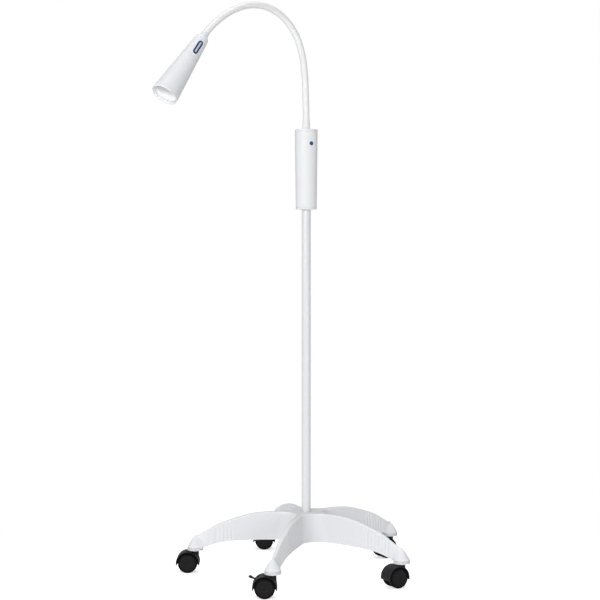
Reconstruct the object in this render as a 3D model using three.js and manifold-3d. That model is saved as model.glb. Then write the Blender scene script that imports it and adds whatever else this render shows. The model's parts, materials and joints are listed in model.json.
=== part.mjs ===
// Surgical (examination) light on a five-castor stand.
// Units: millimetres, +Z up, front towards -Y. Origin: on the pole's axis at the underside
// of the base hub (the face of the pole bolt's head). The floor is at z = -HUB_UNDERSIDE.
// Inside this file heights are counted from the floor; the root group shifts them.

import * as THREE from 'three';
import { mergeVertices } from 'three/addons/utils/BufferGeometryUtils.js';
import Module from 'manifold-3d';

const wasm = await Module();
wasm.setup();

// ---------------------------------------------------------------- main dimensions

const DEG = Math.PI / 180;

// base star
const HUB_UNDERSIDE = 84.5;
const LEG_COUNT = 5;
const LEG_FIRST_DEG = -106.5;          // polar angle of the front leg
const STEM_CIRCLE_R = 285.4;           // radius of the castor stems
const STEM_BORE_R = 5.8;
const STEM_BORE_TOP = 82;

// pole and its fixing
const POLE_R = 11.4;
const POLE_BORE_R = 9.9;
const POLE_FOOT = 98.4;
const POLE_TOP = 990;
const POLE_BOLT_R = 4.0;

// driver housing
const HOUSING_BOTTOM = 932;
const HOUSING_TOP = 1135.5;
const HOUSING_R_BOTTOM = 26.6;
const HOUSING_R_TOP = 29.0;

// gooseneck: ball-ended links in one vertical plane
const NECK_PLANE_DEG = 180 + 41.5;     // polar angle the arch leans towards
const NECK_FIRST_Z = 1161.5;           // first ball centre, on the pole's axis
const NECK_PITCH = 54.6;               // ball centre to ball centre
const NECK_LINK_DEG = [                // elevation of each link, from the housing up
  88.0, 86.8, 80.2, 64.8, 43.6, 20.9, 0.1, -17.4, -31.1, -42.0,
];

// lamp head, from the last ball centre
const HEAD_DIR = new THREE.Vector3(-0.4528, -0.44, -0.7755).normalize();
const HEAD_SWITCH_DIR = new THREE.Vector3(0.4789, -0.8536, 0.2044);

// castors
const WHEEL_R = 25;
const CASTOR_TRAIL = 19.3;             // stem axis to axle
const AXLE_R = 3.0;
const CASTORS = [                      // name, yaw of the trail direction; one per leg
  ['front', 180], ['right', 210], ['rear_right', 210], ['rear_left', 180], ['left', 180],
];

// ---------------------------------------------------------------- materials

const material = (options) => new THREE.MeshStandardMaterial(options);

const WHITE = material({ color: 0xeceef0, roughness: 0.42 });
const WHITE_PAINT = material({ color: 0xf0f1f2, roughness: 0.3 });
const SLEEVE = material({ color: 0xf0f0f0, roughness: 0.5 });
const BLACK = material({ color: 0x1c1c1e, roughness: 0.5 });
const WHEEL_GREY = material({ color: 0x2a2a2c, roughness: 0.6 });
const STEEL = material({ color: 0x9a9da1, roughness: 0.35, metalness: 1 });
const ALUMINIUM = material({ color: 0xb9bcc0, roughness: 0.4, metalness: 1 });
const NAVY = material({ color: 0x1e3458, roughness: 0.4 });
const PALE_BLUE = material({ color: 0x8fb0cf, roughness: 0.45 });
const LENS = material({ color: 0xf8fafc, roughness: 0.1 });
const MIRROR = material({ color: 0xe8eaec, roughness: 0.1, metalness: 1 });
const BOARD = material({ color: 0x1f5b3a, roughness: 0.6 });

// ---------------------------------------------------------------- solids

// A closed three.js geometry as a manifold, facing outwards.
function solid(geometry) {
  const bare = new THREE.BufferGeometry();
  bare.setAttribute('position', geometry.attributes.position);
  bare.setIndex(geometry.index);
  const merged = mergeVertices(bare, 1e-4);
  const { position } = merged.attributes;
  const index = merged.index.array;
  const corner = (i) => new THREE.Vector3().fromBufferAttribute(position, i);

  const triangles = [];
  let volume = 0;                      // six times the signed volume
  for (let i = 0; i < index.length; i += 3) {
    const [a, b, c] = index.slice(i, i + 3);
    if (a === b || b === c || c === a) continue;
    triangles.push(a, b, c);
    volume += corner(a).dot(corner(b).cross(corner(c)));
  }
  if (volume < 0) {
    for (let i = 0; i < triangles.length; i += 3) {
      [triangles[i + 1], triangles[i + 2]] = [triangles[i + 2], triangles[i + 1]];
    }
  }
  return new wasm.Manifold(new wasm.Mesh({
    numProp: 3,
    vertProperties: Float32Array.from(position.array),
    triVerts: Uint32Array.from(triangles),
  }));
}

function geometryOf(manifold) {
  const mesh = manifold.getMesh();
  const geometry = new THREE.BufferGeometry();
  geometry.setAttribute('position', new THREE.Float32BufferAttribute(mesh.vertProperties, 3));
  geometry.setIndex(Array.from(mesh.triVerts));
  geometry.computeVertexNormals();
  return geometry;
}

const join = (first, ...rest) => rest.reduce((whole, part) => whole.add(part), first);
const cut = (first, ...rest) => rest.reduce((whole, part) => whole.subtract(part), first);

// A body of revolution about Z from [radius, height] points that start and end on the axis.
function lathe(points, segments, phase = 0) {
  const outline = points.map(([radius, z]) => new THREE.Vector2(radius, z));
  return new THREE.LatheGeometry(outline, segments, phase).rotateX(Math.PI / 2);
}

// The same for a closed section clear of the axis.
const latheRing = (points, segments, phase) => lathe([...points, points[0]], segments, phase);

const cylinder = (radius, z0, z1, segments) => (
  lathe([[0, z0], [radius, z0], [radius, z1], [0, z1]], segments));

const tube = (innerR, outerR, z0, z1, segments) => (
  latheRing([[innerR, z0], [outerR, z0], [outerR, z1], [innerR, z1]], segments));

function box(x0, x1, y0, y1, z0, z1) {
  const geometry = new THREE.BoxGeometry(x1 - x0, y1 - y0, z1 - z0);
  return geometry.translate((x0 + x1) / 2, (y0 + y1) / 2, (z0 + z1) / 2);
}

const vectors = (points) => points.map(([x, y]) => new THREE.Vector2(x, y));

// A prism of an XY outline between two heights.
function prism(points, z0, z1) {
  const shape = new THREE.Shape(vectors(points));
  const options = { depth: z1 - z0, bevelEnabled: false, curveSegments: 1 };
  return new THREE.ExtrudeGeometry(shape, options).translate(0, 0, z0);
}

// A solid between two outlines of the same point count at two heights.
function loft(bottom, top, z0, z1) {
  const count = bottom.length;
  const positions = [
    ...bottom.flatMap(([x, y]) => [x, y, z0]),
    ...top.flatMap(([x, y]) => [x, y, z1]),
  ];
  const index = [];
  for (let i = 0; i < count; i++) {
    const j = (i + 1) % count;
    index.push(i, j, count + j, i, count + j, count + i);
  }
  const triangulate = (outline) => THREE.ShapeUtils.triangulateShape(vectors(outline), []);
  for (const [a, b, c] of triangulate(bottom)) index.push(a, c, b);
  for (const [a, b, c] of triangulate(top)) index.push(count + a, count + b, count + c);
  const geometry = new THREE.BufferGeometry();
  geometry.setAttribute('position', new THREE.Float32BufferAttribute(positions, 3));
  geometry.setIndex(index);
  return geometry;
}

const polar = (deg, radius) => [radius * Math.cos(deg * DEG), radius * Math.sin(deg * DEG)];

// Points along an arc, both ends included.
function arc(radius, fromDeg, toDeg, steps, [centreX, centreY] = [0, 0]) {
  const points = [];
  for (let i = 0; i <= steps; i++) {
    const [x, y] = polar(fromDeg + (toDeg - fromDeg) * i / steps, radius);
    points.push([centreX + x, centreY + y]);
  }
  return points;
}

// Linear interpolation in a table of [input, output] rows.
function interpolate(table, input) {
  const next = table.findIndex(([x]) => input <= x);
  const [x0, y0] = table[next - 1];
  const [x1, y1] = table[next];
  return y0 + (input - x0) / (x1 - x0) * (y1 - y0);
}

const root = new THREE.Group();
root.name = 'surgical_light';
root.position.z = -HUB_UNDERSIDE;

function addMesh(parent, name, geometry, meshMaterial) {
  const mesh = new THREE.Mesh(geometry, meshMaterial);
  mesh.name = name;
  parent.add(mesh);
}

// ---------------------------------------------------------------- base star

const LEG_HALF_W_BOTTOM = 11.6;        // at the hub's underside
const LEG_HALF_W_TOP = 7.0;            // at LEG_TAPER_TOP
const LEG_TAPER_TOP = 150;
const LEG_REACH = 296;
const LEG_FILLET_R = 44;               // fillet between two legs, in plan
const BASE_WALL = 3.2;
const POCKET_REACH = 262;
const POCKETS = [[28, 118], [121, 188], [191, 258]];   // inner and outer radius
const HUB_BOSS_R = 28;
const HUB_BOSS_TOP = 150;
const COUNTERBORE_R = 15.5;
const COUNTERBORE_TOP = 93.2;
const LEG_TOP = [                      // radius, height of the top ridge
  [0, 155.8], [98, 155.2], [135, 151.8], [175, 142.4], [210, 131.2],
  [236, 120.4], [256, 108.4], [280, 94.5], [292, 87], [298, 77],
];
const LEG_BOTTOM = [                   // radius, height of the lower edge
  [0, HUB_UNDERSIDE], [115, HUB_UNDERSIDE], [190, 82.0], [225, 77], [262, 66], [298, 60],
];
const SOCKET = [                       // radius, height of a castor socket
  [0, 57], [20.3, 57], [20.3, 67], [18.6, 69], [8.0, 90], [0, 92],
];

const LEGS = [...Array(LEG_COUNT).keys()];
const legDeg = (leg) => LEG_FIRST_DEG + leg * 360 / LEG_COUNT;

// Outline of the star: straight-sided legs with a round fillet between each two.
function starOutline(halfWidth, fillet, reach) {
  const halfPitch = 180 / LEG_COUNT;
  const filletCentreR = (halfWidth + fillet) / Math.sin(halfPitch * DEG);
  return LEGS.flatMap((leg) => {
    const deg = legDeg(leg);
    const [tipX, tipY] = polar(deg, reach);
    const [sideX, sideY] = polar(deg + 90, halfWidth);
    const filletFrom = deg - 90;
    const filletTo = filletFrom - (180 - 2 * halfPitch);
    return [
      [tipX - sideX, tipY - sideY],
      [tipX + sideX, tipY + sideY],
      ...arc(fillet, filletFrom, filletTo, 4, polar(deg + halfPitch, filletCentreR)),
    ];
  });
}

// The star between two heights, its legs tapering upwards.
function starPrism(halfWBottom, halfWTop, fillet, reach, z0, z1) {
  const slope = (halfWTop - halfWBottom) / (LEG_TAPER_TOP - HUB_UNDERSIDE);
  const outlineAt = (z) => (
    starOutline(halfWBottom + slope * (z - HUB_UNDERSIDE), fillet, reach));
  return loft(outlineAt(z0), outlineAt(z1), z0, z1);
}

// Lathe bodies for the legs have four facets per leg, one of them centred on the leg.
// Their radii are measured to the middle of a facet.
const STAR_SEG = LEG_COUNT * 4;
const STAR_PHASE = (90 + LEG_FIRST_DEG + 180 / STAR_SEG) * DEG;
const toStarCorners = (points) => (
  points.map(([radius, z]) => [radius / Math.cos(Math.PI / STAR_SEG), z]));

function atStem(leg, geometry) {
  const [x, y] = polar(legDeg(leg), STEM_CIRCLE_R);
  return geometry.translate(x, y, 0);
}

function castorSocket(leg) {
  return solid(atStem(leg, lathe(SOCKET, 14).rotateZ(legDeg(leg) * DEG)));
}

function stemBore(leg) {
  return solid(atStem(leg, cylinder(STEM_BORE_R, 50, STEM_BORE_TOP, 12)));
}

// Hollows in the underside; the radii between them stay as cross ribs.
function legPockets() {
  const inside = solid(starPrism(LEG_HALF_W_BOTTOM - BASE_WALL,
    LEG_HALF_W_TOP - BASE_WALL + 0.6, LEG_FILLET_R + BASE_WALL, POCKET_REACH, 40, 160));
  return POCKETS.map(([start, end]) => {
    const ceiling = [
      [start, interpolate(LEG_TOP, start)],
      ...LEG_TOP.filter(([radius]) => radius > start && radius < end),
      [end, interpolate(LEG_TOP, end)],
    ].map(([radius, z]) => [radius, z - BASE_WALL]);
    const section = [[start, 45], [end, 45], ...ceiling.reverse()];
    return inside.intersect(solid(latheRing(toStarCorners(section), STAR_SEG, STAR_PHASE)));
  });
}

function baseStar() {
  const plan = solid(starPrism(
    LEG_HALF_W_BOTTOM, LEG_HALF_W_TOP, LEG_FILLET_R, LEG_REACH, 50, 162));
  const sideOutline = toStarCorners([...LEG_BOTTOM, ...[...LEG_TOP].reverse()]);
  const body = join(
    plan.intersect(solid(lathe(sideOutline, STAR_SEG, STAR_PHASE))),
    ...LEGS.map(castorSocket),
    solid(cylinder(HUB_BOSS_R, HUB_UNDERSIDE, HUB_BOSS_TOP, 20)),
  );
  // pole socket, bolt hole and counterbore share the pole's axis
  return cut(
    body,
    ...legPockets(),
    ...LEGS.map(stemBore),
    solid(cylinder(POLE_R + 0.4, POLE_FOOT - 0.1, 170, 20)),
    solid(cylinder(POLE_BOLT_R + 0.4, 80, 110, 12)),
    solid(cylinder(COUNTERBORE_R, 80, COUNTERBORE_TOP, 20)),
  );
}

addMesh(root, 'base_star', geometryOf(baseStar()), WHITE);

// ---------------------------------------------------------------- pole

const FOOT_INSERT_TOP = 128;
const BOLT_HEAD_ACROSS_FLATS = 13;
const BOLT_HEAD_TOP = HUB_UNDERSIDE + 5.5;
const BOLT_TIP = 124;
const WASHER_R = COUNTERBORE_R - 1;

addMesh(root, 'pole_tube', tube(POLE_BORE_R, POLE_R, POLE_FOOT, POLE_TOP, 24), WHITE_PAINT);

addMesh(root, 'pole_foot_insert', tube(
  POLE_BOLT_R + 0.3, POLE_BORE_R - 0.3, POLE_FOOT + 0.2, FOOT_INSERT_TOP, 16), STEEL);

function hexagon(acrossFlats) {
  const cornerR = acrossFlats / 2 / Math.cos(Math.PI / 6);
  return [0, 60, 120, 180, 240, 300].map((deg) => polar(deg, cornerR));
}

// The shank starts inside the head so that the two join.
addMesh(root, 'pole_bolt', geometryOf(join(
  solid(prism(hexagon(BOLT_HEAD_ACROSS_FLATS), HUB_UNDERSIDE, BOLT_HEAD_TOP)),
  solid(cylinder(POLE_BOLT_R, HUB_UNDERSIDE + 1, BOLT_TIP, 12)),
)), STEEL);

addMesh(root, 'pole_washer', tube(
  POLE_BOLT_R + 0.4, WASHER_R, BOLT_HEAD_TOP + 0.1, COUNTERBORE_TOP - 0.2, 20), STEEL);

// ---------------------------------------------------------------- driver housing

const HOUSING_WALL = 2.4;
const SHELL_BOTTOM = HOUSING_BOTTOM + 5;
const SHELL_TOP = HOUSING_TOP - 6;
const CAP_SEAM = 0.2;                  // between the shell's ends and the caps
const CAP_INSET = 0.1;                 // cap rim inside the shell's surface
const CAP_BORE_R = POLE_R + 0.2;
const INLET_Z = 962;
const INLET_DEG = 90;                  // towards the rear
const CLAMP_Z = 950;
const CLAMP_DEG = INLET_DEG + 180;
const BUTTON_DEG = -62.3;
const BUTTON_Z = 1098.9;
const BUTTON_R = 5.0;
const BUTTON_TRAVEL = 1.5;
const BUTTON_BACK = 23.6;              // rear of the button's head, from the axis
const POWER_SWITCH_FACE = 18.0;        // from the axis

const housingR = (z) => HOUSING_R_BOTTOM + (HOUSING_R_TOP - HOUSING_R_BOTTOM)
  * (z - HOUSING_BOTTOM) / (HOUSING_TOP - HOUSING_BOTTOM);

const zToX = (geometry) => geometry.rotateY(Math.PI / 2);

// A solid cylinder pointing outwards at a polar angle and a height; x0 and x1 are radii.
function radialCylinder(radius, x0, x1, deg, z, segments) {
  return zToX(cylinder(radius, x0, x1, segments)).rotateZ(deg * DEG).translate(0, 0, z);
}

const HOUSING_SHELL = [                // radius, height
  [housingR(SHELL_BOTTOM) - HOUSING_WALL, SHELL_BOTTOM],
  [housingR(SHELL_BOTTOM), SHELL_BOTTOM],
  [housingR(SHELL_TOP), SHELL_TOP],
  [housingR(SHELL_TOP) - HOUSING_WALL, SHELL_TOP],
];
addMesh(root, 'housing_shell', geometryOf(cut(
  solid(latheRing(HOUSING_SHELL, 32)),
  solid(radialCylinder(BUTTON_R + 0.35, 20, 40, BUTTON_DEG, BUTTON_Z, 20)),
  solid(radialCylinder(4.6, 15, 40, INLET_DEG, INLET_Z, 16)),
)), WHITE);

const TOP_CAP = [                      // radius, height
  [6.4, HOUSING_TOP - 9],
  [25.4, HOUSING_TOP - 9],
  [25.4, SHELL_TOP + CAP_SEAM],
  [housingR(SHELL_TOP) - CAP_INSET, SHELL_TOP + CAP_SEAM],
  [housingR(HOUSING_TOP) - 0.5, HOUSING_TOP - 1.6],
  [housingR(HOUSING_TOP) - 2.2, HOUSING_TOP],
  [6.4, HOUSING_TOP],
];
addMesh(root, 'housing_top_cap', latheRing(TOP_CAP, 32), WHITE);

const BOTTOM_CAP = [                   // radius, height
  [CAP_BORE_R, HOUSING_BOTTOM],
  [HOUSING_R_BOTTOM - 1.4, HOUSING_BOTTOM],
  [HOUSING_R_BOTTOM - 0.2, HOUSING_BOTTOM + 1.2],
  [housingR(SHELL_BOTTOM) - CAP_INSET, SHELL_BOTTOM - CAP_SEAM],
  [23.4, SHELL_BOTTOM - CAP_SEAM],
  [23.4, SHELL_BOTTOM + 5],
  [15.6, SHELL_BOTTOM + 5],
  [15.6, 985],
  [CAP_BORE_R, 985],
];
addMesh(root, 'housing_bottom_cap', geometryOf(cut(
  solid(latheRing(BOTTOM_CAP, 32)),
  solid(radialCylinder(2.3, 8, 22, CLAMP_DEG, CLAMP_Z, 12)),
)), WHITE);

addMesh(root, 'pole_clamp_screw',
  radialCylinder(2.0, POLE_R + 0.1, 18.0, CLAMP_DEG, CLAMP_Z, 12), STEEL);

addMesh(root, 'power_inlet', geometryOf(cut(
  solid(radialCylinder(4.3, 16.4, housingR(INLET_Z) + 0.4, INLET_DEG, INLET_Z, 20)),
  solid(radialCylinder(2.8, 19, 40, INLET_DEG, INLET_Z, 16)),
)), BLACK);

// In the button's group +X points outwards through the button.
const buttonGroup = new THREE.Group();
buttonGroup.rotation.z = BUTTON_DEG * DEG;
buttonGroup.position.z = BUTTON_Z;
root.add(buttonGroup);

addMesh(buttonGroup, 'driver_board', box(12, 13.6, -16, 16, -86, 14), BOARD);
addMesh(buttonGroup, 'power_switch',
  box(13.8, POWER_SWITCH_FACE, -3.5, 3.5, -3.5, 3.5), BLACK);

// A chamfered head with a thin plunger reaching back towards the switch.
function powerButton() {
  const face = housingR(BUTTON_Z) + 0.5;
  const plungerTip = POWER_SWITCH_FACE + BUTTON_TRAVEL + 0.6;
  return zToX(lathe([
    [0, plungerTip], [2, plungerTip], [2, BUTTON_BACK], [BUTTON_R, BUTTON_BACK],
    [BUTTON_R, face - 0.5], [BUTTON_R - 0.7, face], [0, face],
  ], 20));
}
addMesh(buttonGroup, 'power_button', powerButton(), NAVY);

// ---------------------------------------------------------------- gooseneck

const NECK_R = 8.3;
const NECK_BALL_R = 6.9;
const NECK_CUP_R = 7.2;
const NECK_SETBACK = 3.0;              // from a ball centre to the link faces
const NECK_BORE_R = 2.4;

// Section of a spherical surface centred on the axis; angles run from straight down.
const sphereArc = (radius, centreZ, from, to, steps) => (
  arc(radius, from / DEG - 90, to / DEG - 90, steps, [0, centreZ]));

// A concave ball seat opening upwards, from the outer rim in to the bore.
function cupPoints(centreZ, rimR) {
  const faceAngle = Math.acos(NECK_SETBACK / NECK_CUP_R);
  const boreAngle = Math.asin(NECK_BORE_R / NECK_CUP_R);
  return [
    [rimR, centreZ - NECK_SETBACK],
    ...sphereArc(NECK_CUP_R, centreZ, faceAngle, boreAngle, 2),
  ];
}

// A ball end around z = 0, from the bore up to the link face above it.
const BALL_POINTS = sphereArc(NECK_BALL_R, 0, Math.asin(NECK_BORE_R / NECK_BALL_R),
  Math.PI - Math.acos(NECK_SETBACK / NECK_BALL_R), 3);

addMesh(root, 'neck_base_ferrule', latheRing([
  [NECK_BORE_R, HOUSING_TOP - 16], [6.0, HOUSING_TOP - 16], [6.0, HOUSING_TOP + 0.2],
  [10.0, HOUSING_TOP + 0.2], [9.8, HOUSING_TOP + 9], [9.0, HOUSING_TOP + 20],
  ...cupPoints(NECK_FIRST_Z, 8.6),
], 16), WHITE);

// One link: ball at z = 0, cup around z = NECK_PITCH.
const linkGeometry = () => latheRing([
  ...BALL_POINTS, [NECK_R, NECK_SETBACK], ...cupPoints(NECK_PITCH, NECK_R),
], 14);

// Adds the chain of links and returns the centre of the ball after the last one.
function addNeck() {
  const up = new THREE.Vector3(0, 0, 1);
  const outwards = new THREE.Vector3(...polar(NECK_PLANE_DEG, 1), 0);
  const ballCentre = new THREE.Vector3(0, 0, NECK_FIRST_Z);
  NECK_LINK_DEG.forEach((deg, i) => {
    const direction = outwards.clone().multiplyScalar(Math.cos(deg * DEG))
      .addScaledVector(up, Math.sin(deg * DEG));
    const group = new THREE.Group();
    group.position.copy(ballCentre);
    group.quaternion.setFromUnitVectors(up, direction);
    root.add(group);
    addMesh(group, `neck_link_${String(i + 1).padStart(2, '0')}`, linkGeometry(), SLEEVE);
    ballCentre.addScaledVector(direction, NECK_PITCH);
  });
  return ballCentre;
}

// ---------------------------------------------------------------- lamp head

const HEAD_REAR = 13;
const HEAD_SHELL = [                   // distance along the head, outer radius
  [HEAD_REAR, 9.9], [15, 13.2], [19, 15.6], [25.5, 17.0], [33, 17.7], [195.3, 32.3],
];
const [[CONE_START, CONE_START_R], [CONE_END, CONE_END_R]] = HEAD_SHELL.slice(-2);
const HEAD_WALL = 2.0;                 // at the shell's open end
const HEAD_FRONT = 202.4;
const LENS_R = 29.0;
const SWITCH_AT = 56;                  // switch centre along the head
const SWITCH_LEN = 41;
const SWITCH_WID = 12.6;
const SKIRT_LEN = SWITCH_LEN - 3;      // the part of the surround that enters the shell
const SKIRT_WID = SWITCH_WID - 3;
const PAD_LEN = 31.4;
const PAD_WID = 4.2;
const SWITCH_GAP = 0.3;                // per side, around the skirt and the pad

// In the head's group +Z runs from the last ball centre to the lens, +X towards the switch.
function addHead(ballCentre) {
  const switchSide = HEAD_SWITCH_DIR.clone()
    .addScaledVector(HEAD_DIR, -HEAD_SWITCH_DIR.dot(HEAD_DIR)).normalize();
  const across = HEAD_DIR.clone().cross(switchSide);
  const axes = new THREE.Matrix4().makeBasis(switchSide, across, HEAD_DIR);
  const group = new THREE.Group();
  group.position.copy(ballCentre);
  group.quaternion.setFromRotationMatrix(axes);
  root.add(group);
  return group;
}
const head = addHead(addNeck());

// A stadium outline, long side along Y.
function stadium(length, width) {
  const radius = width / 2;
  const centreY = length / 2 - radius;
  return [
    ...arc(radius, 0, 180, 8, [0, centreY]),
    ...arc(radius, 180, 360, 8, [0, -centreY]),
  ];
}

// A stadium prism through the switch side of the shell, its long side along Z.
function switchStadium(length, width) {
  const geometry = prism(stadium(length, width), 5, 40);
  geometry.rotateZ(Math.PI / 2);       // long side along X
  geometry.rotateY(-Math.PI / 2);      // long side along Z, prism along -X
  geometry.scale(-1, 1, 1);            // prism along +X
  return solid(geometry.translate(0, 0, SWITCH_AT));
}

// The head's cone over the switch's length, grown by a distance.
function coneBlock(offset) {
  const slope = (CONE_END_R - CONE_START_R) / (CONE_END - CONE_START);
  const z0 = SWITCH_AT - 30;
  const z1 = SWITCH_AT + 30;
  const radiusAt = (z) => CONE_START_R + slope * (z - CONE_START) + offset;
  return solid(lathe([[0, z0], [radiusAt(z0), z0], [radiusAt(z1), z1], [0, z1]], 32));
}
const coneLayer = (inner, outer) => coneBlock(outer).subtract(coneBlock(inner));

addMesh(head, 'head_ferrule', latheRing([
  ...BALL_POINTS,
  [8.4, NECK_SETBACK], [9.3, NECK_SETBACK + 1.4], [9.3, HEAD_REAR - 0.3],
  [6.0, HEAD_REAR - 0.3], [6.0, 26], [NECK_BORE_R, 26],
], 16), WHITE);

const HEAD_SHELL_SECTION = [           // radius, distance; outside first, then inside
  [6.3, HEAD_REAR], ...HEAD_SHELL.map(([z, radius]) => [radius, z]),
  [CONE_END_R - HEAD_WALL, CONE_END], [15.7, 33], [14.4, 22.4], [11.2, 17.4], [6.3, 16.6],
];
addMesh(head, 'head_shell', geometryOf(cut(
  solid(latheRing(HEAD_SHELL_SECTION, 32)),
  switchStadium(SKIRT_LEN + 2 * SWITCH_GAP, SKIRT_WID + 2 * SWITCH_GAP),
)), WHITE);

addMesh(head, 'head_bezel', latheRing([
  [27.4, 187], [29.3, 187], [29.9, 195.4], [32.3, 195.6], [33.0, 201.4], [32.4, HEAD_FRONT],
  [31.0, HEAD_FRONT], [29.4, 199], [29.4, 194.2], [27.4, 194.2],
], 32), WHITE);

addMesh(head, 'front_lens', lathe([
  [0, 194.4], [LENS_R, 194.4], [LENS_R, 196.0], [18, 197.4], [0, 197.9],
], 32), LENS);

addMesh(head, 'reflector', latheRing([
  [8.6, 167], [15.5, 173], [22.0, 182.5], [26.9, 194.0],
  [25.8, 194.0], [20.9, 183], [14.7, 174], [7.6, 168],
], 24), MIRROR);

// A round board with a domed emitter at its centre.
addMesh(head, 'led_board', geometryOf(join(
  solid(cylinder(12, 162.2, 164.0, 24)),
  solid(lathe([[0, 163], [4.4, 163], [4.4, 165.0], [3.4, 166.8], [0, 167.8]], 16)),
)), LENS);

// A cylinder with radial slots that stop short of its front end.
function heatSink() {
  const slotCount = 8;
  const slots = [];
  for (let i = 0; i < slotCount; i++) {
    const slot = box(8, 24, -1.6, 1.6, 110, 156);
    slots.push(solid(slot.rotateZ((i + 0.5) * 360 / slotCount * DEG)));
  }
  return cut(solid(cylinder(19, 118, 162.0, 24)), ...slots);
}
addMesh(head, 'heat_sink', geometryOf(heatSink()), ALUMINIUM);

// A flange just proud of the cone, a skirt into the shell and an opening for the pad.
function switchSurround() {
  const flange = coneLayer(0.05, 0.9).intersect(switchStadium(SWITCH_LEN, SWITCH_WID));
  const skirt = coneLayer(-3.4, 0.6).intersect(switchStadium(SKIRT_LEN, SKIRT_WID));
  const opening = switchStadium(PAD_LEN + 2 * SWITCH_GAP, PAD_WID + 2 * SWITCH_GAP);
  return flange.add(skirt).subtract(opening);
}
addMesh(head, 'switch_surround', geometryOf(switchSurround()), NAVY);

addMesh(head, 'switch_pad', geometryOf(
  coneLayer(-3.0, 1.3).intersect(switchStadium(PAD_LEN, PAD_WID))), PALE_BLUE);

addMesh(head, 'head_switch',
  box(7.6, 12.4, -3.4, 3.4, SWITCH_AT - 7, SWITCH_AT + 7), BLACK);

// ---------------------------------------------------------------- castors

// In a castor's frame the stem is on Z, the wheels trail towards +X, the axle runs along Y.

const WHEEL_INNER = 5.7;               // wheel faces, from the castor's mid-plane
const WHEEL_OUTER = 20.4;
const WHEEL_SEG = 24;
const HOOD_R = 30.4;
const HOOD_INNER_R = 27.4;
const HOOD_HALF_W = 20.0;
const WEB_R = HOOD_R - 0.4;
const WEB_HALF_W = 5.2;
const AXLE_HALF_LEN = 17.2;
const STEM_TOP = STEM_BORE_TOP - 0.8;

// Moves a piece turned about Z onto the axle; side -1 points it to -Y.
function onAxle(geometry, side = 1) {
  geometry.rotateX(-Math.PI / 2);
  if (side < 0) geometry.rotateZ(Math.PI);
  return geometry.translate(CASTOR_TRAIL, 0, WHEEL_R);
}

// A plate across the mid-plane from an [x, z] outline about the axle.
function sidePlate(points, halfWidth) {
  const geometry = prism(points, -halfWidth, halfWidth).rotateX(Math.PI / 2);
  return solid(geometry.translate(CASTOR_TRAIL, 0, WHEEL_R));
}

// A wheel with a blind axle hole; the middle of one facet rests on the floor.
function wheelGeometry(side) {
  const cornerR = WHEEL_R / Math.cos(Math.PI / WHEEL_SEG);
  const boreR = AXLE_R + 0.1;
  const wheel = lathe([
    [0, 17.4], [boreR, 17.4], [boreR, WHEEL_INNER], [cornerR, WHEEL_INNER],
    [cornerR, WHEEL_OUTER - 2.2], [22.5, WHEEL_OUTER], [0, WHEEL_OUTER],
  ], WHEEL_SEG, Math.PI / WHEEL_SEG);
  return geometryOf(solid(onAxle(wheel, side)));
}

// Room for one wheel beside the web.
const wheelSpace = (side) => (
  solid(onAxle(cylinder(WHEEL_R + 1.3, WEB_HALF_W, HOOD_HALF_W + 3, 16), side)));

// A curved skin over both wheels, a web between them and a boss around the stem.
function hoodGeometry(withBrake) {
  const skin = [...arc(HOOD_R, -9, 190, 11), ...arc(HOOD_INNER_R, 190, -9, 11)];
  const web = [...arc(WEB_R, -2, 190, 8), [-16, -5], [-7, -9], [7, -9], [16, -5]];
  const boss = [[0, 30], [9.2, 30], [9.2, 54.6], [8.4, 56.6], [0, 56.6]];
  const body = join(
    sidePlate(skin, HOOD_HALF_W), sidePlate(web, WEB_HALF_W), solid(lathe(boss, 16)));
  const cuts = [
    solid(cylinder(4.3, 31.5, 60, 12)),                  // stem hole
    solid(onAxle(cylinder(AXLE_R + 0.1, -8, 8, 12))),    // axle hole
    wheelSpace(-1),
    wheelSpace(1),
  ];
  if (withBrake) {
    // slot for the lever and its shoe
    cuts.push(solid(box(CASTOR_TRAIL + 9.4, CASTOR_TRAIL + 40, -7.6, 7.6,
      WHEEL_R + 13, WHEEL_R + 40)));
  }
  return geometryOf(cut(body, ...cuts));
}

// Brake lever outlines, [x, z] from the axle. The lever turns about a line parallel to
// the axle at [13.5, 20.5].
const BRAKE_ARM = [                    // between the wheels
  [10.4, 20.6], [11.6, 23.4], [14.5, 24.0], [19.0, 23.0], [24.0, 23.7], [29.0, 25.6],
  [29.0, 22.2], [24.6, 20.6], [20.6, 19.4], [18.4, 18.4], [16.6, 17.6], [13.5, 17.1],
  [11.0, 18.2],
];
const BRAKE_PEDAL = [                  // hooked, outside the hood
  [27.6, 25.4], [31.6, 28.0], [36.4, 28.4], [38.8, 25.8], [37.4, 22.6], [33.6, 20.9],
  [30.0, 21.2], [27.6, 21.8],
];
const BRAKE_SHOE = [                   // thin, over both treads
  [19.58, 17.02], [18.35, 18.35], [16.68, 19.88], [17.13, 20.41], [18.84, 18.84],
  [20.11, 17.48],
];
const brakeLeverGeometry = () => geometryOf(join(
  sidePlate(BRAKE_ARM, 5.0), sidePlate(BRAKE_PEDAL, 8.0), sidePlate(BRAKE_SHOE, 12.0)));

const CASTOR_STEM = [                  // radius, height
  [0, 33], [4.0, 33], [4.0, 56.7], [5.5, 56.9], [5.5, STEM_BORE_TOP - 2],
  [4.6, STEM_TOP], [0, STEM_TOP],
];

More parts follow.
